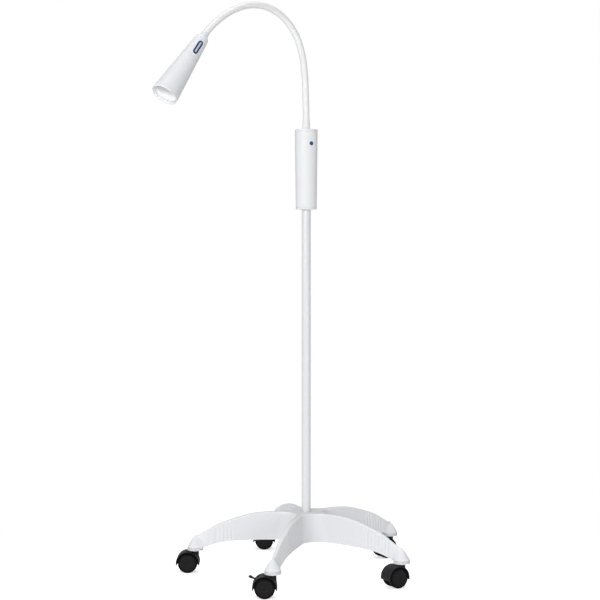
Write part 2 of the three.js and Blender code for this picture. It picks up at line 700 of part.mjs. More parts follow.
CASTORS.forEach(([name, yaw], leg) => {
  const hasBrake = name === 'front';
  const castor = new THREE.Group();
  castor.position.set(...polar(legDeg(leg), STEM_CIRCLE_R), 0);
  castor.rotation.z = yaw * DEG;
  root.add(castor);

  const add = (part, geometry, partMaterial) => (
    addMesh(castor, `castor_${name}_${part}`, geometry, partMaterial));
  add('stem', lathe(CASTOR_STEM, 12), STEEL);
  add('hood', hoodGeometry(hasBrake), BLACK);
  add('axle', onAxle(cylinder(AXLE_R, -AXLE_HALF_LEN, AXLE_HALF_LEN, 12)), STEEL);
  add('wheel_a', wheelGeometry(1), WHEEL_GREY);
  add('wheel_b', wheelGeometry(-1), WHEEL_GREY);
  if (hasBrake) addMesh(castor, 'brake_lever', brakeLeverGeometry(), BLACK);
});

export default root;
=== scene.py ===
# A floor-standing lamp: a five-legged base on castors, a pole, a driver housing, a gooseneck
# and a conical head.
#
# The pole stands along +Z and the frame's origin is at the underside of the hub. The camera
# looks along +Y, so -Y is the front and +X is the right. The head points down to the front left.
# Lengths are in millimetres with heights counted from the floor, unless a comment says metres.
import json
import math

import bpy
import numpy as np
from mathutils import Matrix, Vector


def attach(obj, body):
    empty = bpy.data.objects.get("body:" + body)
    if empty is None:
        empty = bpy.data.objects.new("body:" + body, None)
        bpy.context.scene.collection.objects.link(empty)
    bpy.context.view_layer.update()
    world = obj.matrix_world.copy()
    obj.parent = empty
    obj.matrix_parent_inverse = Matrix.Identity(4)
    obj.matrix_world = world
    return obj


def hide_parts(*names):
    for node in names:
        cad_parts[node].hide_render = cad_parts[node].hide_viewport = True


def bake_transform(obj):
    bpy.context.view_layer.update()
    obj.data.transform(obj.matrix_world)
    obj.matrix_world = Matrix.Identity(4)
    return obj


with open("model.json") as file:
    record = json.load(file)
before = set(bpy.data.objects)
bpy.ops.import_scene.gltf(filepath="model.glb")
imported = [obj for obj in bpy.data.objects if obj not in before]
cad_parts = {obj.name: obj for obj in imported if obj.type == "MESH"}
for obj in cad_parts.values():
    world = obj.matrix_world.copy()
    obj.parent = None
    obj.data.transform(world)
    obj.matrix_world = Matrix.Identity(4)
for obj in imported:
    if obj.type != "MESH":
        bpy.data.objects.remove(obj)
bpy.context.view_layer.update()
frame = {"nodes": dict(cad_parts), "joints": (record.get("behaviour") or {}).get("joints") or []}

FLOOR = 84.5        # the origin's height above the floor
MM = 0.001


def to_metres(points):
    """Points in the frame's own metres, from millimetres above the floor."""
    return (np.asarray(points, float) - np.array([0, 0, FLOOR])) * MM


def unit(vector):
    vector = np.array(vector, float)
    return vector / np.linalg.norm(vector)


ARM_JOINTS = sorted((j for j in frame["joints"] if j["name"].startswith("arm_")),
                    key=lambda j: j["name"])
HEAD_DIR = unit([-0.4528, -0.44, -0.7755])      # the way the lamp shines
HEAD_X = np.array([0.4789, -0.8536, 0.2044])    # the side of the head that has the switch


# ------------------------------------------------------------------ shader helpers

# Materials paired by name with another one; new_material looks a name up here and leaves the result
# unused.
SHARED_SLOTS = {"bezel_plastic": "head_plastic", "button_blue": "navy_plastic"}


class Shader:
    """Builds a node tree; an input takes a plain value or another node's socket."""

    def __init__(self, owner):
        owner.use_nodes = True
        self.tree = owner.node_tree
        self.tree.nodes.clear()

    def add(self, kind, inputs=None, **settings):
        node = self.tree.nodes.new("ShaderNode" + kind)
        for key, value in settings.items():
            setattr(node, key, value)
        for key, value in (inputs or {}).items():
            if isinstance(value, bpy.types.NodeSocket):
                self.tree.links.new(value, node.inputs[key])
            else:
                node.inputs[key].default_value = value
        return node

    def coordinates(self):
        return self.add("TexCoord").outputs["Object"]

    def noise(self, vector, scale, detail=3.0, rough=0.55):
        inputs = {"Scale": scale, "Detail": detail, "Roughness": rough, "Vector": vector}
        return self.add("TexNoise", inputs).outputs["Fac"]

    def ramp(self, factor, low_color, high_color):
        node = self.add("ValToRGB", {"Fac": factor})
        stops = ((0.3, low_color), (0.7, high_color))
        for element, (position, color) in zip(node.color_ramp.elements, stops):
            element.position = position
            element.color = (*color, 1)
        return node.outputs["Color"]

    def remap(self, value, source, target):
        """Maps the (low, high) range of a value to another range."""
        inputs = {"From Min": source[0], "From Max": source[1],
                  "To Min": target[0], "To Max": target[1], "Value": value}
        return self.add("MapRange", inputs).outputs["Result"]

    def mix(self, factor, first, color):
        inputs = {0: factor, 6: first, 7: (*color, 1)}
        return self.add("Mix", inputs, data_type="RGBA").outputs[2]

    def facing(self, blend):
        return self.add("LayerWeight", {"Blend": blend}).outputs["Facing"]

    def bump(self, height, distance, strength=1.0, normal=None):
        """Distance is in metres."""
        inputs = {"Strength": strength, "Distance": distance, "Height": height}
        if normal:
            inputs["Normal"] = normal
        return self.add("Bump", inputs).outputs["Normal"]

    def surface(self, inputs):
        """A Principled surface joined to the material's output."""
        bsdf = self.add("BsdfPrincipled", inputs)
        self.add("OutputMaterial", {"Surface": bsdf.outputs["BSDF"]})


def new_material(name):
    material = bpy.data.materials.new(name)
    SHARED_SLOTS.get(name, name)
    return material, Shader(material)


def scaled(color, gain, lift=0.0):
    return tuple(min(1.0, c * gain + lift) for c in color)


# ------------------------------------------------------------------ kinds of material

def moulded(name, color, rough, grain, grain_depth, spread, mottle, edge, edge_highlight_color=None,
            coat=0.0, wave=None, sheen=0.0, spec=0.5, rim=0.0, rim_power=2.0):
    """Moulded or painted finish.

    grain, mottle: noise scales of the fine grain and the slow mottle
    grain_depth: metres; spread: strength of the mottle; edge: strength of the highlight painted
    along sharp edges
    wave: (scale, depth in metres) of a gentle waviness
    rim, rim_power: how much and how abruptly shade is painted into the colour towards the outline
    """
    material, shader = new_material(name)
    vector = shader.coordinates()
    slow = shader.noise(vector, mottle, detail=4.0, rough=0.6)
    base = shader.ramp(slow, scaled(color, 1 - spread), scaled(color, 1 + spread * 0.5))
    # painted highlight: convex edges, found by pointiness, are lightened in the colour
    pointiness = shader.add("NewGeometry").outputs["Pointiness"]
    edge_highlight = shader.remap(pointiness, (0.5, 0.58), (0.0, edge))
    base = shader.mix(edge_highlight, base, edge_highlight_color or scaled(color, 1.25, 0.02))
    # painted shade: the colour is darkened where the surface is seen edge-on, near the outline
    if rim:
        power = shader.add("Math", {0: shader.facing(0.5), 1: rim_power}, operation="POWER")
        rim_shade = shader.remap(power.outputs["Value"], (0.0, 1.0), (0.0, rim))
        base = shader.mix(rim_shade, base, scaled(color, 0.2))
    fine = shader.noise(vector, grain, detail=2.0, rough=0.5)
    smudge = shader.noise(vector, mottle * 4, detail=3.0, rough=0.65)
    normal = shader.bump(fine, grain_depth, strength=0.6)
    if wave:
        scale, depth = wave
        waves = shader.noise(vector, scale, detail=1.0, rough=0.4)
        normal = shader.bump(waves, depth, strength=0.7, normal=normal)
    shader.surface({
        "Base Color": base,
        "Roughness": shader.remap(smudge, (0.3, 0.7), (rough - 0.05, rough + 0.06)),
        "Normal": normal,
        "Coat Weight": coat,
        "Coat Roughness": 0.12,
        "Sheen Weight": sheen,
        "Specular IOR Level": spec,
    })
    material.diffuse_color = (*color, 1)
    return material


def metal(name, color, rough, streak=(60.0, 60.0, 900.0), depth=0.00001):
    """Turned or drawn metal: streaks (scale per axis, depth in metres) and a little tarnish."""
    material, shader = new_material(name)
    vector = shader.coordinates()
    mapping = shader.add("Mapping", {"Scale": streak, "Vector": vector})
    streaks = shader.noise(mapping.outputs["Vector"], 6.0, detail=4.0, rough=0.6)
    tarnish = shader.noise(vector, 120.0, detail=4.0, rough=0.6)
    shader.surface({
        "Base Color": shader.ramp(tarnish, scaled(color, 0.8), color),
        "Roughness": shader.remap(streaks, (0.2, 0.8), (rough - 0.08, rough + 0.1)),
        "Normal": shader.bump(streaks, depth, strength=0.5),
        "Metallic": 1.0,
    })
    material.diffuse_color = (*color, 1)
    return material


def circuit_board(name):
    """Green laminate: solder-mask mottle and straight copper runs as small cells."""
    material, shader = new_material(name)
    vector = shader.coordinates()
    green = (0.012, 0.11, 0.05, 1)
    brick = shader.add("TexBrick", {
        "Scale": 140.0,
        "Mortar Size": 0.04,
        "Color1": green,
        "Color2": (0.014, 0.13, 0.055, 1),
        "Mortar": (0.06, 0.24, 0.1, 1),
        "Vector": vector,
    })
    slow = shader.noise(vector, 90.0)
    shade = shader.remap(slow, (0.3, 0.7), (0.0, 0.35))
    shader.surface({
        "Base Color": shader.mix(shade, brick.outputs["Color"], (0.01, 0.08, 0.04)),
        "Roughness": shader.remap(slow, (0.3, 0.7), (0.3, 0.45)),
        "Normal": shader.bump(brick.outputs["Fac"], distance=0.00005),
    })
    material.diffuse_color = green
    return material


def side_shadow(shader, vector, base):
    """Darkens the side of the lens that lies under the switch, where its rim shades it."""
    across = np.array([-0.35, -1.0, 0.0])
    across = unit(across - HEAD_DIR * (HEAD_DIR @ across))
    lens_centre = np.array(ARM_JOINTS[-1]["pos_m"]) + HEAD_DIR * 0.197     # metres
    middle = float(lens_centre @ across)
    dot = shader.add("VectorMath", {0: vector, 1: tuple(across)}, operation="DOT_PRODUCT")
    side = shader.remap(dot.outputs["Value"], (middle - 0.006, middle + 0.013), (0.0, 0.8))
    return shader.mix(side, base, (0.36, 0.365, 0.385))


def glowing(name, color, strength, shaded=False):
    """Frosted optic lit from behind: brighter where it is seen square on."""
    frost = 0.25
    material, shader = new_material(name)
    vector = shader.coordinates()
    fine = shader.noise(vector, 900.0, detail=2.0)
    slow = shader.noise(vector, 60.0)
    base = shader.ramp(slow, scaled(color, 0.97), color)
    if shaded:
        base = side_shadow(shader, vector, base)
    glow = shader.remap(shader.facing(0.35), (0.0, 0.9), (strength, strength * 0.55))
    shader.surface({
        "Base Color": base,
        "Emission Color": base,
        "Emission Strength": glow,
        "Roughness": shader.remap(fine, (0.3, 0.7), (frost - 0.05, frost + 0.08)),
        "Normal": shader.bump(fine, distance=0.00002),
        "Coat Weight": 0.6,
        "Coat Roughness": 0.05,
    })
    material.diffuse_color = (*color, 1)
    return material


# ------------------------------------------------------------------ materials

BASE_WHITE = moulded(
    "base_plastic", (0.838, 0.846, 0.87), rough=0.33, grain=1500, grain_depth=0.00004,
    spread=0.012, mottle=6.0, edge=0.3, rim=0.3, rim_power=3.0)
POLE_WHITE = moulded(
    "pole_paint", (0.805, 0.818, 0.833), rough=0.3, grain=700, grain_depth=0.00003,
    spread=0.01, mottle=5.0, edge=0.2, coat=0.25, wave=(260.0, 0.00003), rim=0.5, rim_power=2.6)
HOUSING_WHITE = moulded(
    "housing_plastic", (0.87, 0.875, 0.89), rough=0.38, grain=1800, grain_depth=0.00003,
    spread=0.012, mottle=8.0, edge=0.3, rim=0.5, rim_power=3.0)
HEAD_WHITE = moulded(
    "head_plastic", (0.805, 0.813, 0.838), rough=0.4, grain=2000, grain_depth=0.000008,
    spread=0.012, mottle=10.0, edge=0.3, coat=0.05, rim=0.22, rim_power=3.0)
BEZEL_WHITE = moulded(
    "bezel_plastic", (0.85, 0.857, 0.88), rough=0.4, grain=2000, grain_depth=0.000008,
    spread=0.01, mottle=10.0, edge=0.2)
SLEEVE_WHITE = moulded(
    "sleeve", (0.925, 0.927, 0.93), rough=0.5, grain=1300, grain_depth=0.00004,
    spread=0.02, mottle=14.0, edge=0.15, sheen=0.1, rim=0.62, rim_power=2.2)
HOOD_BLACK = moulded(
    "castor_black", (0.0072, 0.0072, 0.0086), rough=0.44, grain=1100, grain_depth=0.00007,
    spread=0.15, mottle=40.0, edge=0.35, edge_highlight_color=(0.03, 0.03, 0.033), spec=0.24)
DISC_BLACK = moulded(
    "wheel_disc", (0.0056, 0.0056, 0.0064), rough=0.5, grain=1400, grain_depth=0.00004,
    spread=0.12, mottle=50.0, edge=0.3, edge_highlight_color=(0.035, 0.035, 0.036), spec=0.2)
TREAD_BLACK = moulded(
    "wheel_black", (0.0022, 0.0022, 0.0026), rough=0.62, grain=900, grain_depth=0.00009,
    spread=0.25, mottle=60.0, edge=0.2, edge_highlight_color=(0.01, 0.01, 0.0105), spec=0.12)
PART_BLACK = moulded(
    "black_part", (0.014, 0.014, 0.016), rough=0.42, grain=1500, grain_depth=0.00004,
    spread=0.12, mottle=50.0, edge=0.3, edge_highlight_color=(0.05, 0.05, 0.055))
NAVY = moulded(
    "navy_plastic", (0.010, 0.032, 0.085), rough=0.36, grain=1800, grain_depth=0.00002,
    spread=0.08, mottle=60.0, edge=0.3, edge_highlight_color=(0.03, 0.07, 0.16), coat=0.2)
BUTTON_BLUE = moulded(
    "button_blue", (0.008, 0.075, 0.23), rough=0.34, grain=1800, grain_depth=0.00002,
    spread=0.08, mottle=60.0, edge=0.3, edge_highlight_color=(0.03, 0.12, 0.3), coat=0.2)
PALE_BLUE = moulded(
    "pale_blue_plastic", (0.47, 0.6, 0.8), rough=0.42, grain=1800, grain_depth=0.00003,
    spread=0.06, mottle=60.0, edge=0.3, edge_highlight_color=(0.6, 0.7, 0.86))
STEEL = metal("steel", (0.52, 0.53, 0.55), rough=0.3)
CHROME = metal("reflector_chrome", (0.86, 0.87, 0.88), rough=0.12, streak=(30, 30, 30),
               depth=0.000004)
ALU = metal("heat_sink_alu", (0.62, 0.63, 0.65), rough=0.36, streak=(400.0, 400.0, 60.0))
LENS = glowing("lens", (0.92, 0.925, 0.945), strength=0.26, shaded=True)
LENS_EDGE = moulded(
    "lens_edge", (0.84, 0.845, 0.86), rough=0.5, grain=1500, grain_depth=0.00003,
    spread=0.05, mottle=40.0, edge=0.2)
LED = glowing("led", (1.0, 0.97, 0.88), strength=0.5)
BOARD = circuit_board("board")


# ------------------------------------------------------------------ objects

def smooth_shading(mesh, sharp):
    """Smooth faces, with edges steeper than `sharp` degrees kept sharp."""
    mesh.polygons.foreach_set("use_smooth", [True] * len(mesh.polygons))
    mesh.update()
    mesh.set_sharp_from_angle(angle=math.radians(sharp))


def mesh_object(name, verts, faces, materials, face_materials=None, sharp=38.0):
    mesh = bpy.data.meshes.new(name)
    mesh.from_pydata(to_metres(verts).tolist(), [], faces)
    mesh.validate()
    for material in materials if isinstance(materials, list) else [materials]:
        mesh.materials.append(material)
    if face_materials:
        mesh.polygons.foreach_set("material_index", np.asarray(face_materials, np.int32))
    smooth_shading(mesh, sharp)
    ob = bpy.data.objects.new(name, mesh)
    bpy.context.scene.collection.objects.link(ob)
    return ob


def place(ob, body, node):
    """Lets an object ride on a body in place of a CAD node."""
    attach(ob, body)
    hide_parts(node)


def part(name, mesh, materials, body, node, at=None, face_materials=None, sharp=38.0):
    """A placed object from (points, faces), given in the axes `at` if there are any."""
    verts, faces = mesh
    if at:
        verts = to_world(verts, at)
    place(mesh_object(name, verts, faces, materials, face_materials, sharp), body, node)


def cut(ob, cutters):
    """Cuts (points, faces) bodies out of an object and applies the result."""
    for verts, faces in cutters:
        cutter = mesh_object("cutter_tmp", verts, faces, ob.data.materials[0])
        modifier = ob.modifiers.new("cut", "BOOLEAN")
        modifier.operation = "DIFFERENCE"
        modifier.solver = "EXACT"
        modifier.object = cutter
        depsgraph = bpy.context.evaluated_depsgraph_get()
        result = bpy.data.meshes.new_from_object(ob.evaluated_get(depsgraph))
        ob.modifiers.clear()
        before, ob.data = ob.data, result
        bpy.data.meshes.remove(before)
        cutter_mesh = cutter.data
        bpy.data.objects.remove(cutter)
        bpy.data.meshes.remove(cutter_mesh)
    smooth_shading(ob.data, 38.0)


# ------------------------------------------------------------------ curves

def fillet(points, radii, steps=4):
    """Rounds corners of a closed outline; radii are {point number: radius}."""
    points = [np.array(p, float) for p in points]
    out = []
    for i, p in enumerate(points):
        if i not in radii:
            out.append(tuple(p))
            continue
        back, ahead = points[i - 1] - p, points[(i + 1) % len(points)] - p
        back_length, ahead_length = np.linalg.norm(back), np.linalg.norm(ahead)
        back, ahead = back / back_length, ahead / ahead_length
        half = math.acos(max(-1.0, min(1.0, float(back @ ahead)))) / 2
        # the tangent length must leave room for the neighbouring corners
        tangent = min(radii[i] / math.tan(half), 0.48 * back_length, 0.48 * ahead_length)
        radius = tangent * math.tan(half)
        centre = p + unit(back + ahead) * (radius / math.sin(half))
        start, end = p + back * tangent, p + ahead * tangent
        first = math.atan2(*(start - centre)[::-1])
        last = math.atan2(*(end - centre)[::-1])
        turn = (last - first + math.pi) % (2 * math.pi) - math.pi
        for k in range(steps + 1):
            a = first + turn * k / steps
            out.append((centre[0] + radius * math.cos(a), centre[1] + radius * math.sin(a)))
    return out


def hermite(t):
    """Weights of start point, start slope, end point and end slope."""
    return (2 * t**3 - 3 * t**2 + 1, t**3 - 2 * t**2 + t, -2 * t**3 + 3 * t**2, t**3 - t**2)


def spline(points, per):
    """A smooth Catmull-Rom curve with `per` steps between neighbouring points."""
    p = np.asarray(points, float)
    slope = np.zeros_like(p)
    slope[1:-1] = (p[2:] - p[:-2]) / 2
    slope[0], slope[-1] = p[1] - p[0], p[-1] - p[-2]
    out = []
    for i in range(len(p) - 1):
        for k in range(per):
            w = hermite(k / per)
            out.append(w[0] * p[i] + w[1] * slope[i] + w[2] * p[i + 1] + w[3] * slope[i + 1])
    out.append(p[-1])
    return np.array(out)


def smooth_table(knots, step=1.0):
    """A function through (x, y) knots that doesn't overshoot them, sampled every `step`."""
    x, y = np.array(knots, float).T
    rise = np.diff(y) / np.diff(x)
    slope = np.zeros(len(x))
    slope[0], slope[-1] = rise[0], rise[-1]
    for i in range(1, len(x) - 1):
        if rise[i - 1] * rise[i] > 0:
            before, after = x[i] - x[i - 1], x[i + 1] - x[i]
            w1, w2 = 2 * after + before, after + 2 * before
            slope[i] = (w1 + w2) / (w1 / rise[i - 1] + w2 / rise[i])
    xs = np.arange(x[0], x[-1] + step, step)
    i = np.clip(np.searchsorted(x, xs, side="right") - 1, 0, len(x) - 2)
    h = x[i + 1] - x[i]
    w = hermite(np.clip((xs - x[i]) / h, 0, 1))
    ys = w[0] * y[i] + w[1] * h * slope[i] + w[2] * y[i + 1] + w[3] * h * slope[i + 1]
    return lambda at: np.interp(at, xs, ys)


def chord_spline(knots):
    """A smooth curve by chord length: the knots' lengths, and a function of length that
    gives the point and the direction there."""
    p = np.asarray(knots, float)
    s = np.concatenate([[0], np.cumsum(np.linalg.norm(np.diff(p, axis=0), axis=1))])
    slope = np.zeros_like(p)
    for i in range(1, len(p) - 1):
        before, after = s[i] - s[i - 1], s[i + 1] - s[i]
        slope[i] = ((p[i] - p[i - 1]) / before * after
                    + (p[i + 1] - p[i]) / after * before) / (before + after)
    slope[0] = (p[1] - p[0]) / (s[1] - s[0])
    slope[-1] = (p[-1] - p[-2]) / (s[-1] - s[-2])

    def at(length):
        i = int(np.clip(np.searchsorted(s, length, side="right") - 1, 0, len(p) - 2))
        h = s[i + 1] - s[i]
        t = (length - s[i]) / h
        w = hermite(t)
        point = w[0] * p[i] + w[1] * h * slope[i] + w[2] * p[i + 1] + w[3] * h * slope[i + 1]
        tangent = ((6 * t**2 - 6 * t) / h * p[i] + (3 * t**2 - 4 * t + 1) * slope[i]
                   + (-6 * t**2 + 6 * t) / h * p[i + 1] + (3 * t**2 - 2 * t) * slope[i + 1])
        return point, unit(tangent)
    return s, at


# ------------------------------------------------------------------ bodies as (points, faces)

def outward(verts, faces):
    """Faces turned so that the body's signed volume is positive."""
    volume = 0.0
    for face in faces:
        corner = verts[face[0]]
        for second, third in zip(face[1:], face[2:]):
            volume += float(np.dot(corner, np.cross(verts[second], verts[third])))
    return [tuple(reversed(face)) for face in faces] if volume < 0 else faces


def angles(count):
    return 2 * math.pi * np.arange(count) / count


def revolve(profile, segments):
    """Body of revolution about Z of a closed (radius, z) profile; radius 0 makes a pole."""
    verts, rings = [], []
    for r, z in profile:
        count = 1 if r < 1e-6 else segments
        rings.append(range(len(verts), len(verts) + count))
        for k in range(count):
            a = 2 * math.pi * k / segments
            verts.append((r * math.cos(a), r * math.sin(a), z) if count > 1 else (0.0, 0.0, z))
    faces = []
    for a, b in zip(rings, rings[1:] + rings[:1]):
        for k in range(segments):
            k2 = (k + 1) % segments
            if len(a) == 1 and len(b) == 1:
                continue
            if len(a) == 1:
                faces.append((a[0], b[k2], b[k]))
            elif len(b) == 1:
                faces.append((a[k], a[k2], b[0]))
            else:
                faces.append((a[k], a[k2], b[k2], b[k]))
    verts = np.array(verts, float)
    return verts, outward(verts, faces)


def turned(points, radii, steps, segments):
    """Body of revolution with rounded profile corners."""
    return revolve(fillet(points, radii, steps), segments)


def materials_by_radius(profile, split, inside, outside, segments):
    """A material number per face of a revolved profile; edges on the axis have no faces."""
    return [outside if min(a[0], b[0]) > split else inside
            for a, b in zip(profile, profile[1:] + profile[:1]) if max(a[0], b[0]) > 0
            for _ in range(segments)]


def bridge(count, size, closed=False):
    """Quads between `count` rings of `size` points; closed joins the last to the first."""
    faces = []
    for i in range(count if closed else count - 1):
        a, b = i * size, (i + 1) % count * size
        for k in range(size):
            k2 = (k + 1) % size
            faces.append((a + k, a + k2, b + k2, b + k))
    return faces


def fan(first, size, centre):
    """Triangles from a ring, run backwards, to its centre point."""
    return [(first + (k + 1) % size, first + k, centre) for k in range(size)]


def loft(rings):
    """Skin over rings of equal point count, with both ends closed."""
    size, points = len(rings[0]), len(rings) * len(rings[0])
    verts = np.vstack([*rings, np.mean(rings[0], 0), np.mean(rings[-1], 0)])
    faces = bridge(len(rings), size) + fan(0, size, points)
    faces += [(a, b, c) for b, a, c in fan(points - size, size, points + 1)]
    return verts, outward(verts, faces)


def merge(meshes):
    verts, faces, base = [], [], 0
    for points, polygons in meshes:
        verts.append(points)
        faces += [tuple(i + base for i in face) for face in polygons]
        base += len(points)
    return np.concatenate(verts), faces


def axes(origin, x, z):
    """Origin and axis matrix from a Z direction and a rough X direction."""
    z = unit(z)
    x = unit(x - z * (x @ z))
    return origin, np.stack([x, np.cross(z, x), z], 1)


def to_world(verts, at):
    origin, matrix = at
    return verts @ matrix.T + origin


# ------------------------------------------------------------------ bodies from distance fields

def round_cross(a, b, r):
    """Intersection with a round edge of radius r."""
    return np.minimum(-r, np.maximum(a, b)) + np.hypot(np.maximum(a + r, 0), np.maximum(b + r, 0))


def round_join(a, b, r):
    """Union with a round fillet of radius r."""
    return np.maximum(r, np.minimum(a, b)) - np.hypot(np.maximum(r - a, 0), np.maximum(r - b, 0))


def project(field, verts, step, times):
    """Moves points onto the field's zero surface, by at most 0.6 of a cell each time."""
    probe = 0.12 * np.eye(3)
    for _ in range(times):
        slope = np.stack([(field(*(verts + d).T) - field(*(verts - d).T)) / (2 * 0.12)
                          for d in probe], 1)
        shift = slope * (field(*verts.T) / np.maximum((slope * slope).sum(1), 0.05))[:, None]
        length = np.linalg.norm(shift, axis=1)
        shift *= np.minimum(1.0, 0.6 * step / np.maximum(length, 1e-9))[:, None]
        verts = verts - shift
    return verts


def surface_nets(field, low, high, step, rounds):
    """The zero surface of a signed distance field as quads, evened out in some rounds."""
    low, high = np.array(low, float), np.array(high, float)
    size = np.ceil((high - low) / step).astype(int) + 1
    xs, ys, zs = (low[k] + step * np.arange(size[k]) for k in range(3))
    values = np.empty(tuple(size), np.float32)
    slab = 24                                   # layers worked out at once, to save memory
    for i in range(0, size[0], slab):
        layers = xs[i:i + slab][:, None, None]
        values[i:i + slab] = field(layers, ys[None, :, None], zs[None, None, :])
    inside = values < 0

    # cells that the surface passes through
    corners = np.array([(a, b, c) for a in (0, 1) for b in (0, 1) for c in (0, 1)])
    count = np.zeros(tuple(size - 1), np.int8)
    for x, y, z in corners:
        count += inside[x:size[0] - 1 + x, y:size[1] - 1 + y, z:size[2] - 1 + z]
    mixed = (count > 0) & (count < 8)
    index = np.full(mixed.shape, -1, np.int32)
    cells = np.argwhere(mixed)
    index[mixed] = np.arange(len(cells), dtype=np.int32)

    # one point per cell, at the mean of the crossings on its edges
    total = np.zeros((len(cells), 3))
    crossings = np.zeros(len(cells))
    for a in range(8):
        for b in range(a + 1, 8):
            if np.abs(corners[a] - corners[b]).sum() != 1:
                continue
            value_a = values[tuple((cells + corners[a]).T)].astype(float)
            value_b = values[tuple((cells + corners[b]).T)].astype(float)
            cross = (value_a < 0) != (value_b < 0)
            t = np.where(cross, value_a / np.where(cross, value_a - value_b, 1.0), 0.0)
            point = corners[a] + t[:, None] * (corners[b] - corners[a])
            total += np.where(cross[:, None], point, 0.0)
            crossings += cross
    verts = low + step * (cells + total / np.maximum(crossings, 1)[:, None])

    # one quad around each grid edge that crosses the surface
    quads = []
    for k in range(3):
        order = (k, (k + 1) % 3, (k + 2) % 3)
        signs = np.moveaxis(inside, order, (0, 1, 2))
        cell = np.moveaxis(index, order, (0, 1, 2))
        change = signs[:-1] != signs[1:]
        for side in (0, -1):
            change[:, side, :] = False
            change[:, :, side] = False
        i, j, l = np.argwhere(change).T
        quad = np.stack([cell[i, j - 1, l - 1], cell[i, j, l - 1],
                         cell[i, j, l], cell[i, j - 1, l]], 1)
        backwards = ~signs[i, j, l]
        quad[backwards] = quad[backwards][:, ::-1]
        quads.append(quad)
    quads = np.concatenate(quads)

    verts = project(field, verts, step, 2)
    starts, ends = quads.T.ravel(), quads[:, [1, 2, 3, 0]].T.ravel()
    amount = len(verts)
    for _ in range(rounds):
        neighbours = np.bincount(starts, minlength=amount) + np.bincount(ends, minlength=amount)
        total = np.stack([np.bincount(starts, verts[ends, k], amount)
                          + np.bincount(ends, verts[starts, k], amount) for k in range(3)], 1)
        mean = total / np.maximum(neighbours, 1)[:, None]
        verts = project(field, verts + 0.5 * (mean - verts), step, 1)
    return project(field, verts, step, 1), quads.tolist()


# ------------------------------------------------------------------ base star

FIRST_LEG = math.radians(-106.5)
SECTOR = math.radians(72)
STEM_R = 285.4              # from the pole's axis to a castor's stem
LEG_HALF_WIDTH = 11.9       # at the underside
RIB_DEPTH = 2.1
WALL = 3.2
PLAN_FILLET = 44.0          # between neighbouring legs
STAR_STEP = 1.3

# (distance from the pole's axis, height) of the legs' top and underside
LEG_TOP = smooth_table([
    (0, 155.8), (84, 155.7), (104, 154.9), (127, 153.0), (149, 149.0), (171, 143.4), (189, 137.8),
    (204, 133.0), (222, 126.6), (239, 118.6), (252, 110.6), (268, 101.2), (282, 93.4), (300, 86),
])
LEG_BOTTOM = smooth_table([
    (0, 84.5), (104, 84.5), (142, 83.8), (171, 82.8), (193, 81.4), (215, 78.6), (237, 73.6),
    (260, 66.9), (285, 60.4), (300, 59.0),
])
# (distance from the pole's axis, half width of the leg's top)
LEG_TOP_WIDTH = smooth_table([
    (0, 7.8), (130, 7.6), (180, 7.2), (215, 6.6), (240, 5.4), (262, 4.4), (285, 3.9), (300, 3.8),
])
# (height, radius) of the socket at a leg's tip
SOCKET = smooth_table([
    (55.0, 17.4), (66.0, 17.4), (67.4, 18.4), (68.6, 18.7), (72.0, 16.9), (76.5, 13.9),
    (80.5, 11.0), (84.0, 8.1), (86.6, 5.2), (88.3, 1.4), (89.2, -1.0),
], step=0.1)
# distances of the grooves that part the ribs across each leg
GROOVES = [191.5, 201.5, 211.5, 221.5, 231.5, 241.0, 250.0]
# (radius, height) of the stepped collar around each socket, and its corner radii
COLLAR = [
    (16.4, 57.3), (21.0, 57.3), (21.0, 58.8), (17.8, 59.3), (17.8, 60.9), (21.0, 61.4),
    (21.0, 62.7), (17.8, 63.2), (17.8, 64.8), (20.6, 65.3), (20.4, 66.4), (18.9, 68.6),
    (16.4, 68.6),
]
COLLAR_RADII = {1: 0.4, 2: 0.4, 5: 0.3, 6: 0.3, 9: 0.3, 10: 0.5}


def rib_depth(r):
    """0 on the crests, 1 in the grooves between the ribs."""
    out = np.zeros_like(r)
    for a, b in zip(GROOVES[:-1], GROOVES[1:]):
        t = (r - a) / (b - a)
        crest = np.sin(math.pi * np.clip(t, 0, 1)) ** 0.7
        out = np.where((t >= 0) & (t < 1), 1 - crest, out)
    first, last = GROOVES[0], GROOVES[-1]
    out = np.where((r < first) & (r > first - 2.2), 1 - (first - r) / 2.2, out)
    return np.where((r >= last) & (r < last + 4), 1 - (r - last) / 4, out)


def leg_side(along, across, half_width):
    """Plan distance to a leg with a round tip and fillets to its neighbours."""
    y = half_width + PLAN_FILLET
    x = y / math.tan(SECTOR / 2)
    hub = PLAN_FILLET - np.hypot(along - x, across - y)
    side = np.where(along < x, hub, across - half_width)
    return np.where(along > STEM_R, np.hypot(along - STEM_R, across) - half_width, side)


